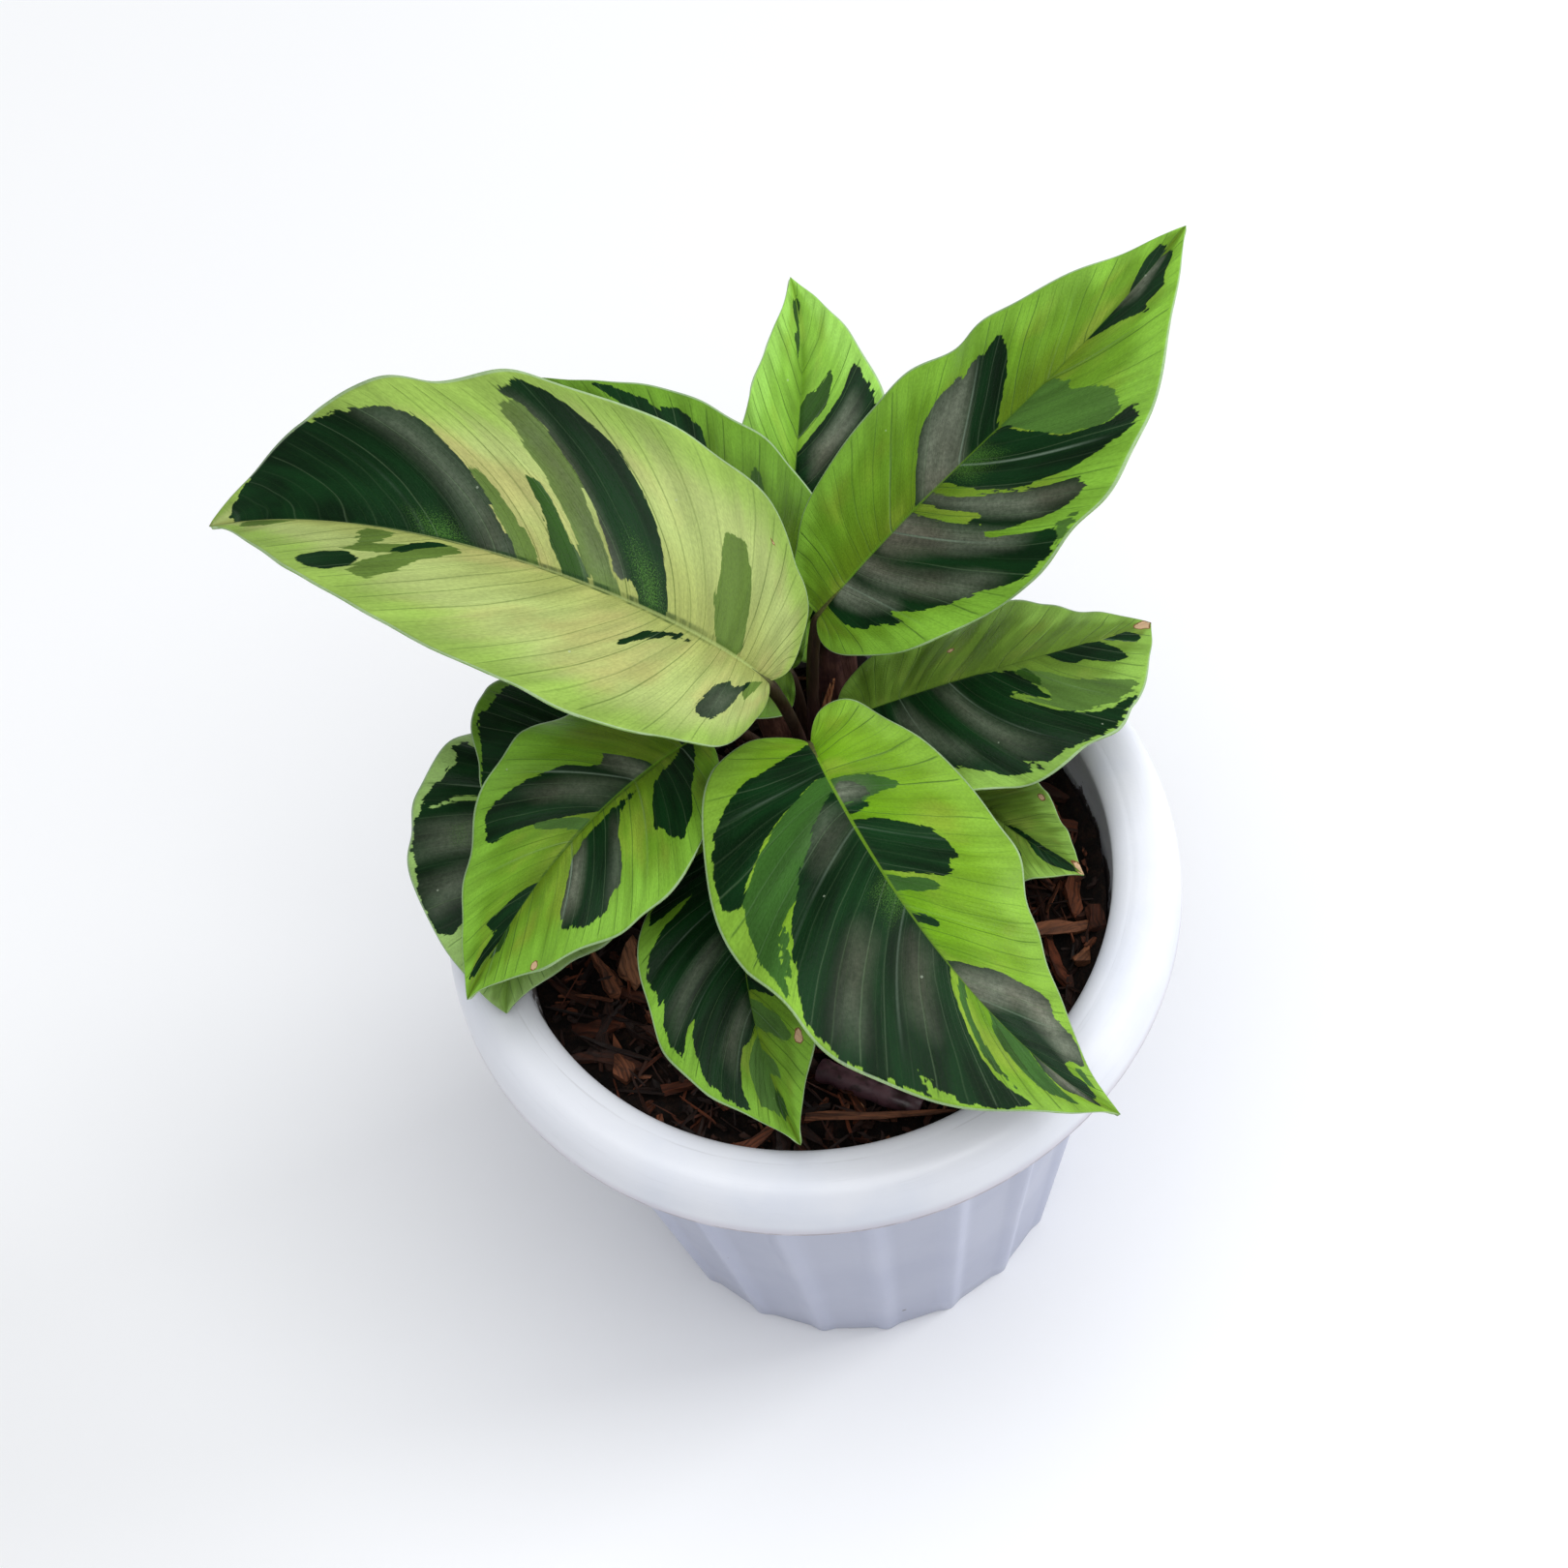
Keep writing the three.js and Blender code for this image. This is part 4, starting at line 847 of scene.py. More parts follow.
    "blade_right_low": {
        "rib": [(25, 20, 112), (33, 5, 117), (39, -3, 118), (47, -10, 116)],
        "half": (9.5, 10.5), "fold": (12, 12), "roll": (3, 3), "widest": (0.36, 0.42), "full": (0.37, 0.38),
        "tip": (0.34, 0.25), "lobe": (0.05, 0.05), "wave": ((1, 3, -0.18), (1, 3, 0)),
        "root": (6, 0), "grid": (90, 26), "lean": (0.05, 0.06), "colors": "olive",
        "primary": (0.2, 0.02, 0.2), "veins": 20, "ribShade": 0.3,
        "marks": [
            ("dark", 0, [(0.55, 0), (0.65, 0.07), (0.75, 0.14), (0.85, 0.2), (0.92, 0.38), (0.95, 0.45),
                (0.97, 0.3), (0.97, 0)]),
            ("dark", 1, [(0.72, 0), (0.78, 0.12), (0.8, 0.4), (0.83, 0.58), (0.87, 0.68), (0.93, 0.8),
                (0.97, 0.7), (0.97, 0)]),
            ("dark", 1, [(0.66, 0.3), (0.68, 0.5), (0.7, 0.68), (0.715, 0.5), (0.69, 0.35)]),
            ("dark", 0, [(0.2, 0.05), (0.25, 0.5), (0.33, 0.6), (0.36, 0.05)]),
        ],
        "scars": [(0, 0.53, 0.88, 0.025, 0.06), (0, 0.97, 0.8, 0.05, 0.35), (1, 0.99, 0.6, 0.02, 0.5)],
    },
    "blade_left_low": {
        "rib": [(-29, 28, 122), (-41, 9, 128), (-50, -6, 127), (-55, -20, 121)],
        "half": (24, 29), "fold": (10, 10), "roll": (5, 10), "widest": (0.35, 0.3), "full": (0.34, 0.26),
        "tip": (0.2, 0.3), "lobe": (0.05, 0.06), "wave": ((1.1, 3, -0.13), (1.6, 3, 0.19)),
        "root": (-6, 1), "grid": (120, 38), "lean": (0.05, 0.08), "colors": "pale",
        "primary": (0.18, 0.02, 0.3), "veins": 24, "ribShade": 0.2,
        "marks": [
            ("dark", 0, [(0.2, 0.03), (0.24, 0.5), (0.32, 0.85), (0.44, 0.9), (0.5, 0.6), (0.48, 0.03)]),
            ("dark", 0, [(0.62, 0.03), (0.64, 0.5), (0.7, 0.8), (0.78, 0.6), (0.78, 0.03)]),
            ("dark", 1, [(0.2, 0.03), (0.28, 0.5), (0.34, 0.75), (0.33, 0.92), (0.355, 0.95), (0.37, 0.85),
                (0.42, 0.9), (0.48, 0.95), (0.53, 0.99), (0.62, 0.95), (0.7, 0.99), (0.76, 0.97),
                (0.77, 0.85), (0.76, 0.7), (0.74, 0.4), (0.72, 0.03)]),
            ("dim", 1, [(0.5, 0.3), (0.52, 0.9), (0.6, 0.9), (0.6, 0.3)]),
            ("dim", 1, [(0.63, 0.5), (0.66, 0.9), (0.72, 0.9), (0.7, 0.5)]),
            ("lime", 1, [(0.445, 0.5), (0.45, 0.75), (0.475, 0.9), (0.48, 0.87), (0.465, 0.7),
                (0.46, 0.5)]),
            ("fleck", 1, [(0.52, 0.6), (0.53, 0.72), (0.58, 0.7), (0.58, 0.6)]),
        ],
        "scars": [],
    },
    "blade_left_inner": {
        "rib": [(-23, 29, 131), (-35, 18, 136), (-43, 10, 135), (-50, 2, 130)],
        "half": (17, 24), "fold": (10, 10), "roll": (5, 5), "widest": (0.38, 0.28), "full": (0.36, 0.22),
        "tip": (0.25, 0.18), "lobe": (0.05, 0.05), "wave": ((1, 3, 0), (1.2, 3, -0.18)),
        "root": (-4, 3), "grid": (100, 34), "lean": (0.05, 0.1), "colors": "shady",
        "primary": (0.2, 0.02, 0.2), "veins": 22, "ribShade": 0.2,
        "marks": [
            ("dark", 0, [(0.25, 0.03), (0.3, 0.5), (0.38, 0.8), (0.5, 0.8), (0.55, 0.5), (0.52, 0.03)]),
            ("dark", 0, [(0.68, 0.03), (0.7, 0.4), (0.76, 0.6), (0.82, 0.4), (0.82, 0.03)]),
            ("dark", 1, [(0.15, 0.02), (0.25, 0.5), (0.38, 0.88), (0.5, 0.9), (0.52, 0.94), (0.6, 0.92),
                (0.65, 0.96), (0.74, 0.98), (0.75, 0.8), (0.7, 0.4), (0.65, 0.02)]),
            ("dark", 1, [(0.85, 0.02), (0.87, 0.5), (0.93, 0.6), (0.95, 0.02)]),
        ],
        "scars": [],
    },
}

# the grey and brown tints are a painted sheen on the dark marks
markTones = {
    "dark": tint(9, 42, 15), "deep": tint(42, 76, 22), "grey": tint(126, 134, 116),
    "brown": tint(112, 110, 96),
    "fleck": tint(96, 150, 58), "paleVein": tint(108, 134, 98), "primary": tint(136, 158, 138),
    # the rib tint is a painted shadow beside the midrib
    "ribShade": tint(34, 64, 30), "marginLine": tint(172, 198, 160), "scar": tint(214, 180, 142),
    "scarRim": tint(124, 84, 52), "dust": tint(190, 204, 180),
}

# one step of a marking's field is this share of the veins and of the way to the margin
sharpStep = (0.009, 0.05)
softStep = (0.022, 0.16)
fieldReach = 2.0
ribTouch = 0.065
shadeOrder = ["mid", "deep", "dark"]
# soft shades: the attribute that they fill, and how strongly; the grey ones are a painted sheen on the marks
softShades = {"grey": ("grey", 1.0), "dim": ("grey", 0.5), "fleck": ("fleck", 1.0)}


def marginPoint(blade, side, vein):
    # where a vein meets the margin: along the midrib, and across as a share of the half width
    widest, full, tip, lobe = (blade[key][side] for key in ("widest", "full", "tip", "lobe"))
    low = np.clip(vein / shoulderVein, 0, 1)
    high = np.clip((vein - shoulderVein) / (1 - shoulderVein), 0, 1)
    first = vein <= shoulderVein
    x = np.where(first, cubic(0, -2 * lobe, widest - lobeRise, widest, low),
                 cubic(widest, widest + full, tipShoulder, 1, high))
    y = np.where(first, cubic(0, 0.3, 1, 1, low), cubic(1, 1, tip, 0, high))
    return x, y


def ribFrame(blade, share):
    # the midrib's points, directions along, across and above, at shares of its length
    a, b, c, d = (np.array(p, float) for p in blade["rib"])
    first = (-5 * a + 18 * b - 9 * c + 2 * d) / 6
    second = (2 * a - 9 * b + 18 * c - 5 * d) / 6
    u = np.clip(share, 0, 1)[..., None]
    origin = cubic(a, first, second, d, u)
    along = 3 * (1 - u) ** 2 * (first - a) + 6 * (1 - u) * u * (second - first) + 3 * u * u * (d - second)
    along /= np.linalg.norm(along, axis=-1, keepdims=True)
    origin = origin + along * np.minimum(share, 0)[..., None] * np.linalg.norm(d - a)
    level = np.cross([0.0, 0.0, 1.0], along)
    level /= np.linalg.norm(level, axis=-1, keepdims=True)
    roll = np.radians(blade["roll"][0] + (blade["roll"][1] - blade["roll"][0]) * u)
    across = level * np.cos(roll) + np.cross(along, level) * np.sin(roll)
    return origin, along, across, np.cross(along, across)


def veinOf(blade, side, vein, across):
    # real veins lean towards the tip on their way to the margin
    return vein - blade["lean"][side] * across * (1 - 0.5 * across)


def bladeSheet(blade, side, vein, across):
    marginX, marginY = marginPoint(blade, side, vein)
    root = vein ** veinCrowding
    share = root + (marginX - root) * (across * (1 - veinBend) + veinBend * across ** 2)
    origin, along, sideways, above = ribFrame(blade, share)
    half = blade["half"][side]
    reach = half * marginY * across
    fold = math.radians(blade["fold"][side])
    waveHeight, waveCount, wavePhase = blade["wave"][side]
    wave = waveHeight * marginY * across ** 2 * np.sin(2 * np.pi * (waveCount * vein + wavePhase))
    lift = reach * math.sin(fold) - bladeCurl * reach ** 2 / half + wave
    # pleats between the primary veins, a channel along the midrib and a slight unevenness
    spacing, offset = blade["primary"][:2]
    phase = (veinOf(blade, side, vein, across) - offset) / spacing
    lift += pleatDepth * marginY * np.sin(np.pi * across) * (np.abs(np.sin(np.pi * phase)) - 0.6)
    lift += 0.1 * marginY * np.sin(np.pi * across) * np.sin(2 * np.pi * phase * 3.3 + across)
    lift -= channelDepth * (1 - 0.6 * vein) * np.exp(-(reach / 0.5) ** 2)
    lift += 0.55 * marginY * across * np.sin(vein * 24 + across * 4 + half) * np.sin(vein * 9 + 2)
    lift += 0.6 * marginY * across ** 4 * np.sin(vein * 46 + half) * np.sin(vein * 8 + 3 * half)
    reach = reach * (1 + 0.04 * across ** 4 * np.sin(vein * 27 + 3 * side + half) * np.sin(vein * 11 + half))
    for bumpSide, bumpVein, amount, width in blade.get("bumps", []):
        if bumpSide == side:
            reach = reach * (1 + amount * across ** 3 * np.exp(-((vein - bumpVein) / width) ** 2))
    sign = 1 if side == 0 else -1
    return origin + sideways * (sign * reach * math.cos(fold))[:, None] + above * lift[:, None]


def outlineField(outline, vein, across, step):
    # distance to the outline in field steps, positive inside; outlines that come near the midrib touch it
    outline = [(p, q if q > ribTouch else -2 * fieldReach * step[1]) for p, q in outline]
    x, y = vein / step[0], across / step[1]
    nearest = np.full(x.shape, fieldReach)
    inside = np.zeros(x.shape, bool)
    corners = [(p / step[0], q / step[1]) for p, q in outline]
    for (x1, y1), (x2, y2) in zip(corners, corners[1:] + corners[:1]):
        dx, dy = x2 - x1, y2 - y1
        t = np.clip(((x - x1) * dx + (y - y1) * dy) / (dx * dx + dy * dy), 0, 1)
        nearest = np.minimum(nearest, np.hypot(x - x1 - t * dx, y - y1 - t * dy))
        crossing = (y1 > y) != (y2 > y)
        height = np.where(dy == 0, 1e-9, dy)
        inside ^= crossing & (x < x1 + (y - y1) * dx / height)
    return np.where(inside, nearest, -nearest)


def paintMarks(blade, vein, across, side):
    # later marks cover earlier ones; a lime mark takes every dark shade away
    fields = {shade: np.full(vein.shape, -fieldReach) for shade in shadeOrder}
    fields.update({key: np.zeros(vein.shape) for key in ("grey", "fleck", "scar")})
    for shade, markSide, outline in blade["marks"]:
        here = (side == markSide) | (across < 1e-4)
        step = softStep if shade in softShades else sharpStep
        field = np.where(here, outlineField(outline, vein, across, step), -fieldReach)
        if shade in softShades:
            key, strength = softShades[shade]
            fields[key] = np.maximum(fields[key], strength * np.clip(0.5 + 0.5 * field, 0, 1))
            continue
        rank = shadeOrder.index(shade) if shade in shadeOrder else -1
        for other in shadeOrder[rank + 1:]:
            fields[other] = np.minimum(fields[other], -field)
        if rank >= 0:
            fields[shade] = np.maximum(fields[shade], field)
    for markSide, vein0, across0, width, height in blade["scars"]:
        apart = np.hypot((vein - vein0) / width, (across - across0) / height)
        fields["scar"] = np.where(side == markSide, np.maximum(fields["scar"], np.clip(1.5 - apart, 0, 1)),
                                  fields["scar"])
    return fields


def veinLines(tree, veinLine, signed, count, wander, width, seed):
    # thin lines along the veins, unevenly spaced and not all as strong
    bent = grain(tree, spot(tree, times(tree, veinLine, 9), signed, seed))
    phase = plus(tree, times(tree, veinLine, count), times(tree, bent, wander))
    apart = absolute(tree, minus(tree, calc(tree, "FRACT", phase), 0.5))
    line = ease(tree, apart, 0.0, width, 1.0, 0.0)
    number = spot(tree, calc(tree, "FLOOR", phase), calc(tree, "SIGN", signed), seed)
    strength = addNode(tree, "TexWhiteNoise", {0: number}).outputs["Value"]
    return times(tree, line, ease(tree, strength, 0.1, 0.95, 0.2, 1.0))


def tornEdge(tree, veinLine, signed, seed):
    # marks end in teeth: each narrow strip between fine veins stops at its own place
    drift = grain(tree, spot(tree, times(tree, veinLine, 22), times(tree, signed, 2.5), seed))
    strip = calc(tree, "FLOOR", plus(tree, times(tree, veinLine, edgeStrips), times(tree, drift, 1.6)))
    own = addNode(tree, "TexWhiteNoise", {0: spot(tree, strip, seed, 1.0)}).outputs["Value"]
    stretch = calc(tree, "FLOOR", plus(tree, times(tree, signed, 6.0), times(tree, own, 3.0)))
    step = addNode(tree, "TexWhiteNoise", {0: spot(tree, strip, stretch, seed)}).outputs["Value"]
    soft = grain(tree, spot(tree, times(tree, veinLine, 170), times(tree, signed, 16), seed), 1, 3, 0.6)
    tooth = times(tree, minus(tree, step, 0.5), 0.6)
    return plus(tree, tooth, times(tree, minus(tree, soft, 0.5), 0.85))


def topMaterial(name, blade, seed):
    material, tree = newMaterial(name + " face")
    tone = tones[blade["colors"]]
    vein = readAttribute(tree, "vein")
    signed = readAttribute(tree, "across")
    across = absolute(tree, signed)
    veinLine = readAttribute(tree, "veinLine")
    where = addNode(tree, "TexCoord").outputs["Object"]

    def veinGrain(alongCount, acrossCount, salt, detail=3, roughness=0.5):
        at = spot(tree, times(tree, veinLine, alongCount), times(tree, signed, acrossCount),
                  seed + salt)
        return grain(tree, at, 1, detail, roughness)

    clouds = grain(tree, where, 45, 3)
    bands = veinGrain(8, 1.3, 5)
    stripe = veinGrain(27, 1.6, 3)
    streaks = veinGrain(85, 3, 4)
    weave = veinGrain(320, 46, 0, 2)
    torn = tornEdge(tree, veinLine, signed, seed)

    def mask(shade):
        field = plus(tree, readAttribute(tree, shade), torn)
        return ease(tree, plus(tree, field, 0.1), -0.1, 0.1)

    mid, deep, dark = (mask(shade) for shade in shadeOrder)
    marked = calc(tree, "MAXIMUM", calc(tree, "MAXIMUM", times(tree, mid, 0.5), deep), dark)

    # ground colour
    color = blend(tree, ease(tree, plus(tree, across, times(tree, bands, 0.6)), 0.3, 0.8),
                  tone["inner"], tone["base"])
    color = blend(tree, ease(tree, bands, 0.48, 0.68, 0.0, 0.75), color, tone["warm"])
    color = blend(tree, ease(tree, plus(tree, across, times(tree, stripe, 0.4)), 0.82, 1.12),
                  color, tone["margin"])
    # painted shade: the ground colour darkens towards the blade's base, where it lies in shade
    color = blend(tree, ease(tree, vein, 0.0, 0.25, 0.5, 0.0), color, tone["inner"])
    color = shaded(tree, color, ease(tree, stripe, 0.3, 0.7, 0.83, 1.12))
    color = shaded(tree, color, ease(tree, streaks, 0.3, 0.7, 0.95, 1.05))

    brightness = ease(tree, stripe, 0.25, 0.75, 0.75, 1.25)
    color = blend(tree, mid, color, shaded(tree, tone["mid"], brightness))
    color = blend(tree, deep, color, shaded(tree, markTones["deep"], brightness))
    contrast = ease(tree, stripe, 0.25, 0.75, 0.5, 1.5)
    color = blend(tree, dark, color, shaded(tree, markTones["dark"], contrast))

    # painted sheen: grey bands on the marks, standing in for their greyish sheen
    paintedSheen = times(tree, readAttribute(tree, "grey"), marked)
    uneven = plus(tree, stripe, times(tree, minus(tree, streaks, 0.5), 0.5))
    paintedSheen = times(tree, paintedSheen, ease(tree, uneven, 0.25, 0.6, 0.55, 0.88))
    sheenColor = blend(tree, ease(tree, clouds, 0.45, 0.65), markTones["grey"], markTones["brown"])
    mottle = grain(tree, where, 1300, 3, 0.7)
    color = blend(tree, paintedSheen, color, shaded(tree, sheenColor, ease(tree, mottle, 0.3, 0.7, 0.78, 1.18)))

    # fine green stipple near the midrib
    near = readAttribute(tree, "fleck")
    speckle = plus(tree, veinGrain(520, 120, 7, 4, 0.8), times(tree, near, 0.16))
    fleck = times(tree, ease(tree, speckle, 0.59, 0.7), ease(tree, near, 0.05, 0.6))
    color = blend(tree, times(tree, fleck, 0.5), color, markTones["fleck"])

    # fine veins: dark on the pale ground, pale on the marks
    ending = ease(tree, across, 0.93, 0.99, 1.0, 0.0)
    fineVeins = times(tree, veinLines(tree, veinLine, signed, blade["veins"], 0.9, 0.06, seed + 1), ending)
    hairVeins = times(tree, veinLines(tree, veinLine, signed, blade["veins"] * 3.3, 1.2, 0.14, seed + 2),
                     ending)
    pale = minus(tree, 1.0, marked)
    color = blend(tree, times(tree, times(tree, fineVeins, marked), 0.27), color,
                  markTones["paleVein"])
    color = blend(tree, times(tree, times(tree, fineVeins, pale), 0.7), color,
                  shaded(tree, tone["mid"], 0.85))
    color = blend(tree, times(tree, hairVeins, 0.12), color, markTones["deep"])

    # primary veins: broader, pale and bluish
    spacing, offset, strength = blade["primary"]
    turns = calc(tree, "DIVIDE", minus(tree, veinLine, offset - spacing / 2), spacing)
    away = absolute(tree, minus(tree, calc(tree, "FRACT", turns), 0.5))
    primary = times(tree, ease(tree, away, 0.0, 0.024, 1.0, 0.0), ease(tree, across, 0.5, 0.9, 1.0, 0.0))
    primary = times(tree, primary, ease(tree, clouds, 0.35, 0.6, 0.2, 1.0))
    shown = times(tree, primary, ease(tree, marked, 0.0, 1.0, 0.3, 1.0))
    color = blend(tree, times(tree, shown, strength), color, markTones["primary"])

    # the midrib, and a painted shadow in thin lines beside it where the blade folds at the midrib
    fromRib = calc(tree, "DIVIDE", across, ease(tree, vein, 0.0, 1.0, 0.018, 0.008))
    onRib = ease(tree, fromRib, 0.5, 1.0, 1.0, 0.0)
    ribFoldShade = times(tree, ease(tree, fromRib, 1.8, 3.0, 1.0, 0.0), ease(tree, vein, 0.25, 0.5))
    ribFoldShade = times(tree, ribFoldShade, ease(tree, stripe, 0.4, 0.55))
    color = blend(tree, times(tree, ribFoldShade, blade["ribShade"]), color, markTones["ribShade"])
    ribColor = blend(tree, ease(tree, vein, 0.1, 0.8), tone["base"], shaded(tree, tone["base"], 0.5))
    color = blend(tree, times(tree, onRib, 0.75), color, ribColor)

    # pale line along the margin, dry scars and dust specks
    color = blend(tree, ease(tree, across, 0.984, 0.992, 0.0, 0.7), color, markTones["marginLine"])
    crumpled = times(tree, minus(tree, grain(tree, where, 420, 4, 0.6), 0.5), 1.5)
    scar = plus(tree, readAttribute(tree, "scar"), crumpled)
    scar = times(tree, scar, ease(tree, readAttribute(tree, "scar"), 0.0, 0.1))
    color = blend(tree, ease(tree, scar, 0.55, 0.62), color, markTones["scarRim"])
    color = blend(tree, ease(tree, scar, 0.7, 0.85), color, markTones["scar"])
    cells = addNode(tree, "TexVoronoi", {"Vector": where, "Scale": 420.0})
    chosen = addNode(tree, "TexWhiteNoise", {0: cells.outputs["Position"]}).outputs["Value"]
    speck = ease(tree, minus(tree, ease(tree, chosen, 0.94, 1.0, 0.0, 0.12), cells.outputs["Distance"]),
                 0.0, 0.03)
    color = blend(tree, times(tree, speck, 0.35), color, markTones["dust"])
    color = shaded(tree, color, ease(tree, weave, 0.3, 0.7, 0.92, 1.08))

    relief = plus(tree, times(tree, fineVeins, -0.5), times(tree, hairVeins, -0.2))
    relief = plus(tree, relief, times(tree, weave, 0.5))
    relief = plus(tree, relief, times(tree, primary, -0.6))
    finishSurface(tree, color, ease(tree, weave, 0.3, 0.7, 0.36, 0.48), relief, 0.14, 0.11)
    return material


def undersideMaterial(name, seed):
    material, tree = newMaterial(name + " underside")
    vein = readAttribute(tree, "vein")
    signed = readAttribute(tree, "across")
    across = absolute(tree, signed)
    veinLine = readAttribute(tree, "veinLine")
    where = addNode(tree, "TexCoord").outputs["Object"]
    clouds = grain(tree, where, 70, 4)
    color = blend(tree, ease(tree, clouds, 0.35, 0.65), tint(132, 152, 98), tint(118, 134, 96))
    flush = ease(tree, plus(tree, readAttribute(tree, "dark"), times(tree, clouds, 0.8)), -0.3, 0.9)
    color = blend(tree, times(tree, flush, 0.8), color, tint(96, 50, 74))
    phase = calc(tree, "FRACT", times(tree, veinLine, underVeins))
    line = ease(tree, absolute(tree, minus(tree, phase, 0.5)), 0.0, 0.12, 1.0, 0.0)
    color = blend(tree, times(tree, line, 0.35), color, tint(150, 150, 120))
    fromRib = calc(tree, "DIVIDE", across, ease(tree, vein, 0.0, 1.0, 0.07, 0.03))
    onRib = ease(tree, fromRib, 0.7, 1.1, 1.0, 0.0)
    color = blend(tree, onRib, color, blend(tree, vein, tint(112, 92, 62), tint(140, 160, 96)))
    weave = grain(tree, spot(tree, times(tree, veinLine, 300), times(tree, signed, 40), seed), 1, 2)
    color = shaded(tree, color, ease(tree, weave, 0.3, 0.7, 0.9, 1.1))
    relief = plus(tree, times(tree, line, 0.6), times(tree, weave, 0.4))
    finishSurface(tree, color, 0.62, relief, 0.15, 0.3)
    return material


def marginMaterial():
    material, tree = newMaterial("leaf margin")
    where = addNode(tree, "TexCoord").outputs["Object"]
    clouds = ease(tree, grain(tree, where, 300, 3), 0.4, 0.6)
    color = blend(tree, clouds, tint(176, 204, 150), tint(140, 176, 96))
    finishSurface(tree, color, 0.55, specular=0.3)
    return material


leafEdge = marginMaterial()


def makeBlade(name, blade, seed):
    along, half = blade["grid"]
    bm = bmesh.new()
    bmesh.ops.create_grid(bm, x_segments=along, y_segments=2 * half, size=0.5)
    flat = np.array([vert.co for vert in bm.verts])
    vein = np.clip(flat[:, 0] + 0.5, 0, 1)
    signed = np.sign(flat[:, 1]) * np.abs(2 * flat[:, 1]) ** 1.3
    signed[np.abs(signed) < 1e-5] = 0
    across = np.clip(np.abs(signed), 0, 1)
    side = np.where(signed >= 0, 0, 1)
    sheets = [bladeSheet(blade, s, vein, across) for s in (0, 1)]
    spots = np.where((side == 0)[:, None], sheets[0], sheets[1]) * mm
    values = {"vein": vein, "across": np.clip(signed, -1, 1)}
    values["veinLine"] = np.where(side == 0, *(veinOf(blade, s, vein, across) for s in (0, 1)))
    values.update(paintMarks(blade, vein, across, side))
    layers = {key: bm.verts.layers.float.new(key) for key in values}
    weights = bm.verts.layers.deform.verify()
    marginY = np.where(side == 0, marginPoint(blade, 0, vein)[1], marginPoint(blade, 1, vein)[1])
    reach = np.array(blade["half"])[side] * marginY * across
    ridge = midribDepth * (1 - midribTaper * vein) * np.exp(-(reach / 0.9) ** 2)
    thickest = bladeThickness + midribDepth
    for i, vert in enumerate(bm.verts):
        vert.co = spots[i]
        for key, layer in layers.items():
            vert[layer] = values[key][i]
        vert[weights][0] = (bladeThickness * (1 - 0.35 * across[i] ** 3) + ridge[i]) / thickest
    bmesh.ops.remove_doubles(bm, verts=bm.verts, dist=0.01 * mm)
    materials = [topMaterial(name, blade, seed), undersideMaterial(name, seed), leafEdge]
    piece = newPiece(name.replace("blade", "leaf"), bm, materials)
    piece.vertex_groups.new(name="thickness")
    shell = piece.modifiers.new("thickness", "SOLIDIFY")
    shell.thickness = thickest * mm
    shell.offset = -1
    shell.vertex_group = "thickness"
    shell.material_offset = 1
    shell.material_offset_rim = 2
    settle(piece)
    stand(piece, "blade_face", name)


for number, (name, blade) in enumerate(blades.items()):
    makeBlade(name, blade, 11.0 * number)
print("blades made")


# The crown and the leaf stalks, with their sheaths and three dry sheaths

stalk = {
    "radius": 1.1, "root": 1.3, "rise": 0.4, "turn": 0.25, "sides": 14, "steps": 26,
    "purple": tint(72, 42, 46), "brown": tint(50, 34, 22), "green": tint(84, 92, 40),
}


def stalkMaterial():
    material, tree = newMaterial("leaf stalk")
    along = readAttribute(tree, "along")
    where = addNode(tree, "TexCoord").outputs["Object"]
    clouds = grain(tree, where, 130, 4)
    color = blend(tree, ease(tree, plus(tree, along, times(tree, clouds, 0.3)), 0.3, 0.75),
                  stalk["purple"], stalk["brown"])
    color = blend(tree, ease(tree, along, 0.88, 0.97), color, stalk["green"])
    lengths = addNode(tree, "VectorMath", {0: where, 1: (2600, 2600, 90)}, operation="MULTIPLY").outputs[0]
    fibres = grain(tree, lengths, 1, 3)
    color = shaded(tree, color, ease(tree, fibres, 0.3, 0.7, 0.75, 1.3))
    finishSurface(tree, color, ease(tree, clouds, 0.3, 0.7, 0.42, 0.6), fibres, 0.12, 0.35)
    return material


def driedMaterial():
    material, tree = newMaterial("dry sheath")
    where = addNode(tree, "TexCoord").outputs["Object"]
    lengths = addNode(tree, "VectorMath", {0: where, 1: (2200, 2200, 160)}, operation="MULTIPLY").outputs[0]
    fibres = grain(tree, lengths, 1, 4, 0.6)
    mottled = ease(tree, plus(tree, grain(tree, where, 260, 4), times(tree, fibres, 0.4)), 0.5, 0.85)
    old = blend(tree, mottled, tint(60, 34, 34), tint(92, 60, 52))
    papery = blend(tree, ease(tree, fibres, 0.35, 0.65), tint(132, 70, 42), tint(200, 142, 100))
    color = blend(tree, readAttribute(tree, "tone"), old, papery)
    finishSurface(tree, color, 0.7, fibres, 0.25, 0.3)
    return material


def stalkPoints(blade):
    # from the crown up and round into the underside of the midrib
    shares = np.array([0.0, 0.06, 0.13])
    origin, along, across, above = ribFrame(blade, shares)
    start, seat, end = (Vector(p) for p in origin)
    heading = Vector(along[0])
    below = [Vector(a) for a in above]
    top = start - below[0] * 1.1
    root = Vector((crown["x"] + blade["root"][0], crown["y"] + blade["root"][1], soil["level"] - 3))
    rise = (top - root).length
    first = root + up * rise * blade.get("stalkRise", stalk["rise"])
    second = top - heading * rise * blade.get("stalkTurn", stalk["turn"])
    points = [cubic(root, first, second, top, i / stalk["steps"]) for i in range(stalk["steps"] + 1)]
    return points + [seat - below[1] * 1.15, end - below[2] * 1.1]


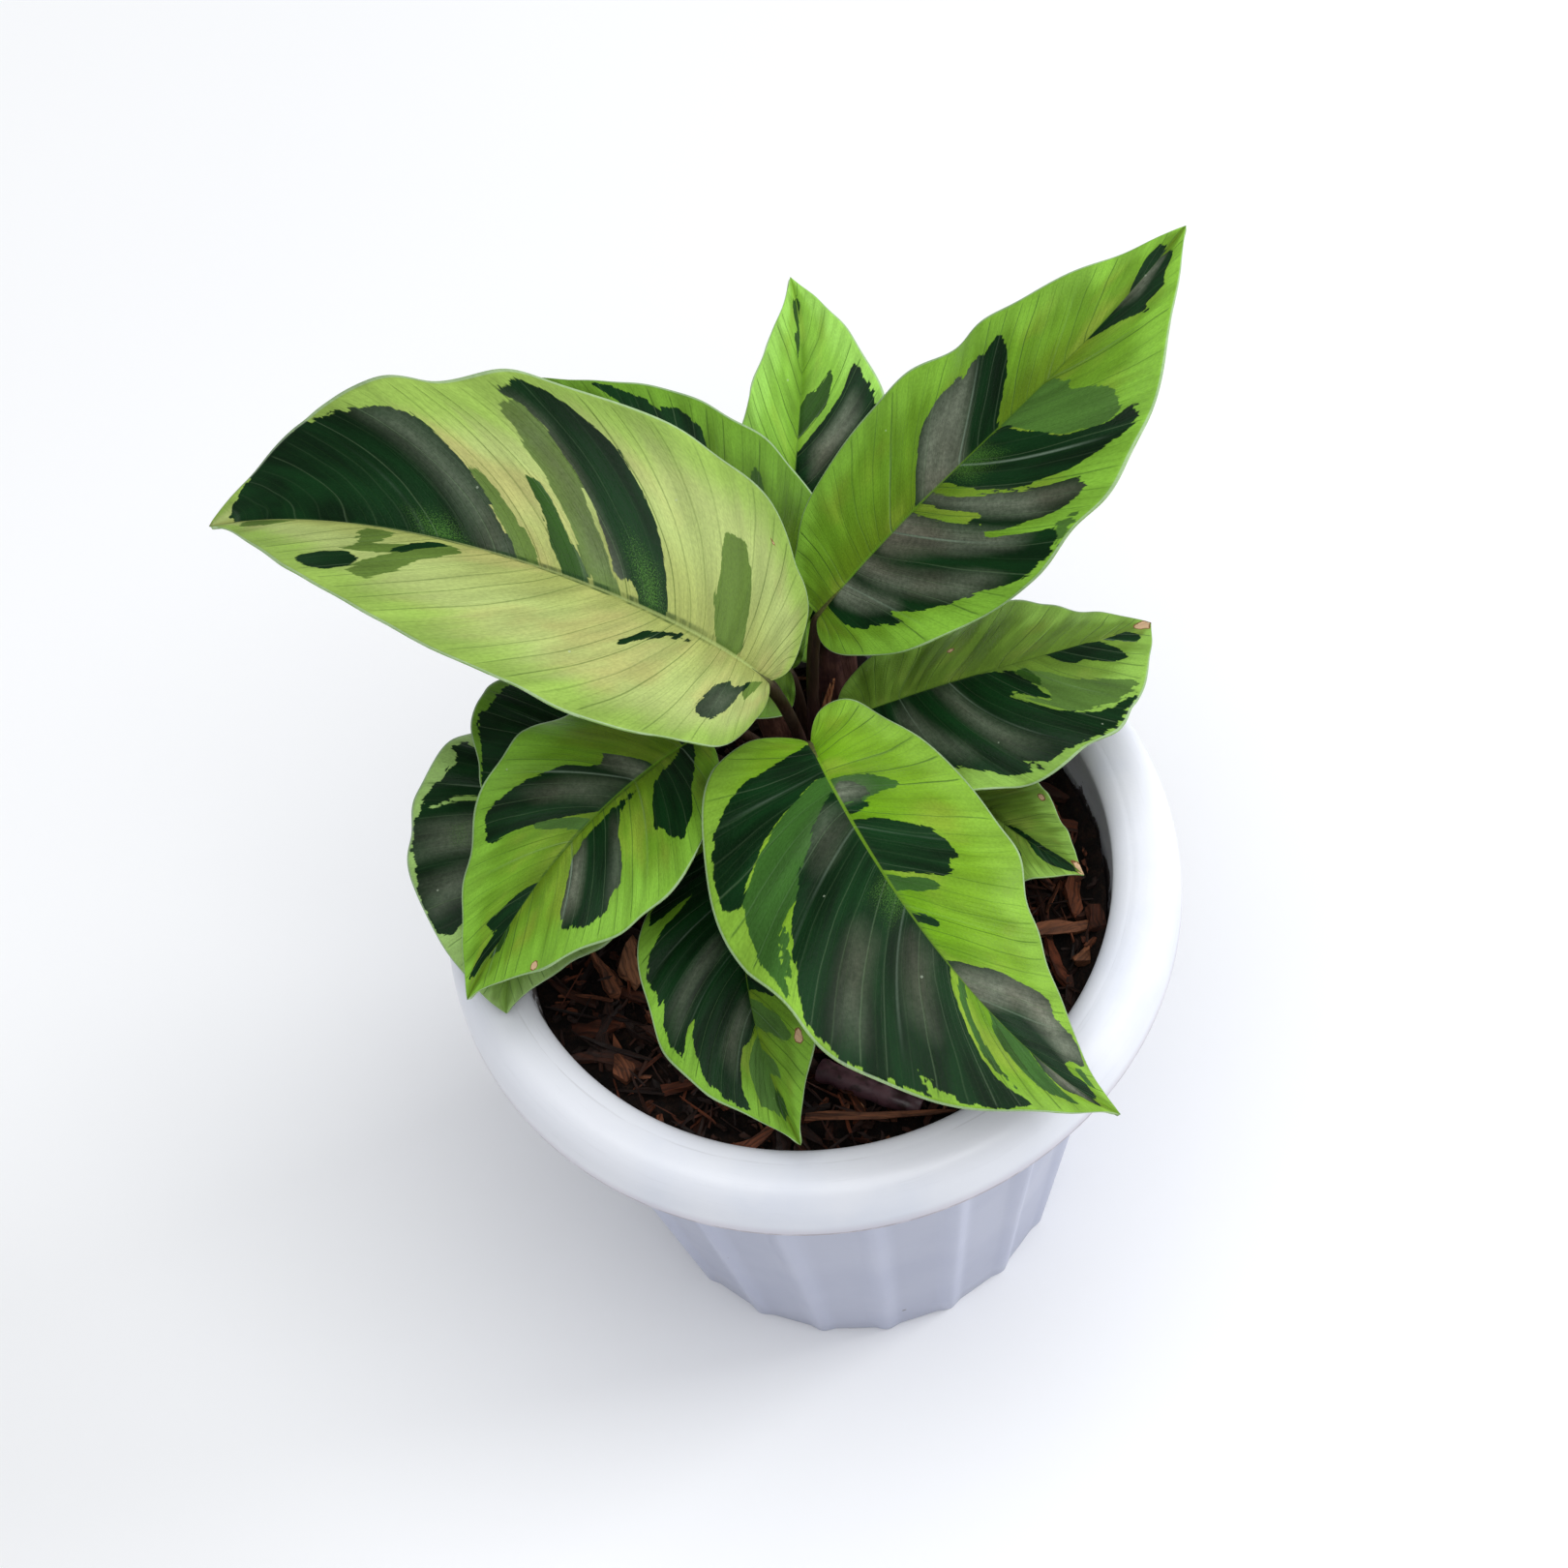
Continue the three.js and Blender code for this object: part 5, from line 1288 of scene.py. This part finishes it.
# dry sheaths round the stalks: foot and tip, width, how far they wrap in radians, facing, tone
drySheaths = [
    {"foot": (4.6, 30, 102), "tip": (9, 28.5, 130), "width": 2.2, "wrap": 3.6, "facing": -0.6,
     "tone": 1.0, "taper": 0.72},
    {"foot": (9, 38, 97), "tip": (12, 40, 136), "width": 6.4, "wrap": 2.4, "facing": -1.57,
     "tone": 0.0, "taper": 0.4},
    {"foot": (2.5, 28, 98), "tip": (-3.4, 31, 132), "width": 4, "wrap": 2.8, "facing": -1.5,
     "tone": 0.1, "taper": 0.6},
]


def addSheath(bm, sheath):
    # a thin strip, curled round its own axis and narrowing to a ragged tip
    tone = bm.verts.layers.float.get("tone") or bm.verts.layers.float.new("tone")
    foot, tip = Vector(sheath["foot"]), Vector(sheath["tip"])
    for vert in bmesh.ops.create_grid(bm, x_segments=14, y_segments=24, size=0.5)["verts"]:
        across, along = vert.co.x, vert.co.y + 0.5
        angle = sheath["facing"] + across * sheath["wrap"] * (1 - 0.3 * along)
        radius = sheath["width"] * (1 - sheath["taper"] * along ** 1.6)
        radius *= 1 + 0.08 * math.sin(9 * across + 4 * along)
        ragged = 0.06 * math.sin(across * 23) * along
        middle = foot.lerp(tip, along + ragged) + Vector((0.5 * math.sin(7 * along), 0, 0))
        vert.co = (middle + Vector((math.cos(angle), math.sin(angle), 0)) * radius) * mm
        vert[tone] = sheath["tone"]


def makeStalks():
    bm = bmesh.new()
    for blade in blades.values():
        points = stalkPoints(blade)
        count = len(points)
        radii = []
        for i in range(count):
            share = i / (count - 1)
            sheath = max(0, 1 - share / 0.42)
            pulvinus = math.exp(-((share - 0.86) / 0.07) ** 2)
            slimming = 0.45 * max(0, share - 0.93) / 0.07
            radii.append(stalk["radius"] + stalk["root"] * sheath ** 1.3 + 0.16 * pulvinus - slimming)
        sweepTube(bm, points, radii, stalk["sides"], 0.86)
    # the crown: overlapping sheath bases round the growing point
    for i in range(9):
        angle = 2.4 * i
        out = 1.2 + 0.62 * i
        middle = Vector((crown["x"] + out * math.cos(angle), crown["y"] + out * math.sin(angle), 0))
        lean = Vector((math.cos(angle), math.sin(angle), 0)) * (0.5 + 0.25 * i)
        tall = crown["top"] + 7 - 1.6 * i
        points = [middle + up * (soil["level"] - 6) + (lean * t + up * (tall - soil["level"] + 6) * t)
                  for t in (j / 12 for j in range(13))]
        radii = [3.1 * (1 - 0.75 * (j / 12) ** 2.2) for j in range(13)]
        sweepTube(bm, points, radii, 12, 0.6)
    bmesh.ops.recalc_face_normals(bm, faces=bm.faces)
    stalks = newPiece("leafStalks", bm, [stalkMaterial()])
    stand(stalks, "stalk", "crown_and_stalks")

    bm = bmesh.new()
    for sheath in drySheaths:
        addSheath(bm, sheath)
    dried = newPiece("drySheaths", bm, [driedMaterial()])
    paper = dried.modifiers.new("paper", "SOLIDIFY")
    paper.thickness = 0.35 * mm
    paper.offset = 0
    settle(dried)
    stand(dried, "stalk")


makeStalks()
print("stalks made")


# The cut piece of old stalk on the soil

def stubMaterial():
    material, tree = newMaterial("old stalk")
    where = addNode(tree, "TexCoord").outputs["Object"]
    clouds = grain(tree, where, 200, 4)
    color = blend(tree, ease(tree, clouds, 0.35, 0.65), tint(56, 32, 40), tint(92, 62, 70))
    color = blend(tree, ease(tree, grain(tree, where, 700, 4), 0.5, 0.7, 0.0, 0.8), color, tint(38, 22, 20))
    finishSurface(tree, color, ease(tree, clouds, 0.3, 0.7, 0.35, 0.6), clouds, 0.5, 0.5)
    return material


def makeStub():
    a, b, c = (Vector(p) for p in stub["path"])
    steps = 16
    shares = [i / steps for i in range(steps + 1)]
    points = [(1 - t) ** 2 * a + 2 * t * (1 - t) * b + t * t * c for t in shares]
    radii = [stub["radius"] * (1 - 0.12 * i / steps + 0.06 * math.sin(i * 1.9)) for i in range(steps + 1)]
    bm = bmesh.new()
    sweepTube(bm, points, radii, 18)
    bmesh.ops.recalc_face_normals(bm, faces=bm.faces)
    piece = newPiece("oldStalk", bm, [stubMaterial()])
    soften = piece.modifiers.new("cut edges", "BEVEL")
    soften.width = 0.25 * mm
    soften.segments = 2
    soften.limit_method = "ANGLE"
    settle(piece)
    stand(piece, "stalk", "stalk_stub")


makeStub()
print("stub made")


# Floor, light and camera

studio = {
    "floorSize": 6, "floor": tint(248, 249, 251),
    "worldStrength": 0.3, "keySize": 2.2, "keyPower": 42.0, "keyPlace": (0.15, -0.3, 2.2),
    "fillSize": 0.7, "fillPower": 11.5, "fillPlace": (1.5, 0.2, 0.8),
}
view = {
    "tilt": 60.7, "distance": 550, "target": (0, 0, 116), "roll": 9.88,
    "focalPixels": 3248, "framePixels": 1620, "targetPixel": (835.5, 900.4), "sensor": 36,
}


def makeFloor():
    material, tree = newMaterial("pale floor")
    where = addNode(tree, "TexCoord").outputs["Object"]
    soft = grain(tree, where, 3, 2)
    color = shaded(tree, studio["floor"], ease(tree, soft, 0.3, 0.7, 0.985, 1.0))
    finishSurface(tree, color, 0.8, specular=0.1)
    bm = bmesh.new()
    bmesh.ops.create_grid(bm, x_segments=2, y_segments=2, size=studio["floorSize"] / 2)
    floor = newPiece("studioFloor", bm, [material])


def addSoftbox(name, size, power, spotAt):
    light = bpy.data.lights.new(name, "AREA")
    light.size = size
    light.energy = power
    lamp = bpy.data.objects.new(name, light)
    lamp.location = spotAt
    lamp.rotation_euler = (Vector((0, 0, 0.1)) - Vector(spotAt)).to_track_quat("-Z", "Y").to_euler()
    bpy.context.scene.collection.objects.link(lamp)


def makeLight():
    world = bpy.data.worlds.new("studio")
    world.use_nodes = True
    world.node_tree.nodes["Background"].inputs[0].default_value = (0.96, 0.98, 1.0, 1)
    world.node_tree.nodes["Background"].inputs[1].default_value = studio["worldStrength"]
    bpy.context.scene.world = world
    addSoftbox("key", studio["keySize"], studio["keyPower"], studio["keyPlace"])
    addSoftbox("fill", studio["fillSize"], studio["fillPower"], studio["fillPlace"])
    bpy.context.scene.view_settings.view_transform = "Standard"


def makeCamera():
    tilt, roll = math.radians(view["tilt"]), math.radians(view["roll"])
    back = Vector((0, -math.cos(tilt), math.sin(tilt)))
    level = Vector((1, 0, 0))
    upright = back.cross(level)
    right = level * math.cos(roll) - upright * math.sin(roll)
    head = level * math.sin(roll) + upright * math.cos(roll)
    lens = bpy.data.cameras.new("camera")
    frameSize = view["framePixels"]
    lens.sensor_width = view["sensor"]
    lens.lens = view["focalPixels"] / frameSize * view["sensor"]
    lens.shift_x = (frameSize / 2 - view["targetPixel"][0]) / frameSize
    lens.shift_y = (view["targetPixel"][1] - frameSize / 2) / frameSize
    camera = bpy.data.objects.new("camera", lens)
    camera.matrix_world = Matrix.Translation((Vector(view["target"]) + back * view["distance"]) * mm) @ \
        Matrix((right, head, back)).transposed().to_4x4()
    bpy.context.scene.collection.objects.link(camera)
    bpy.context.scene.camera = camera


makeFloor()
makeLight()
makeCamera()
print("studio made")
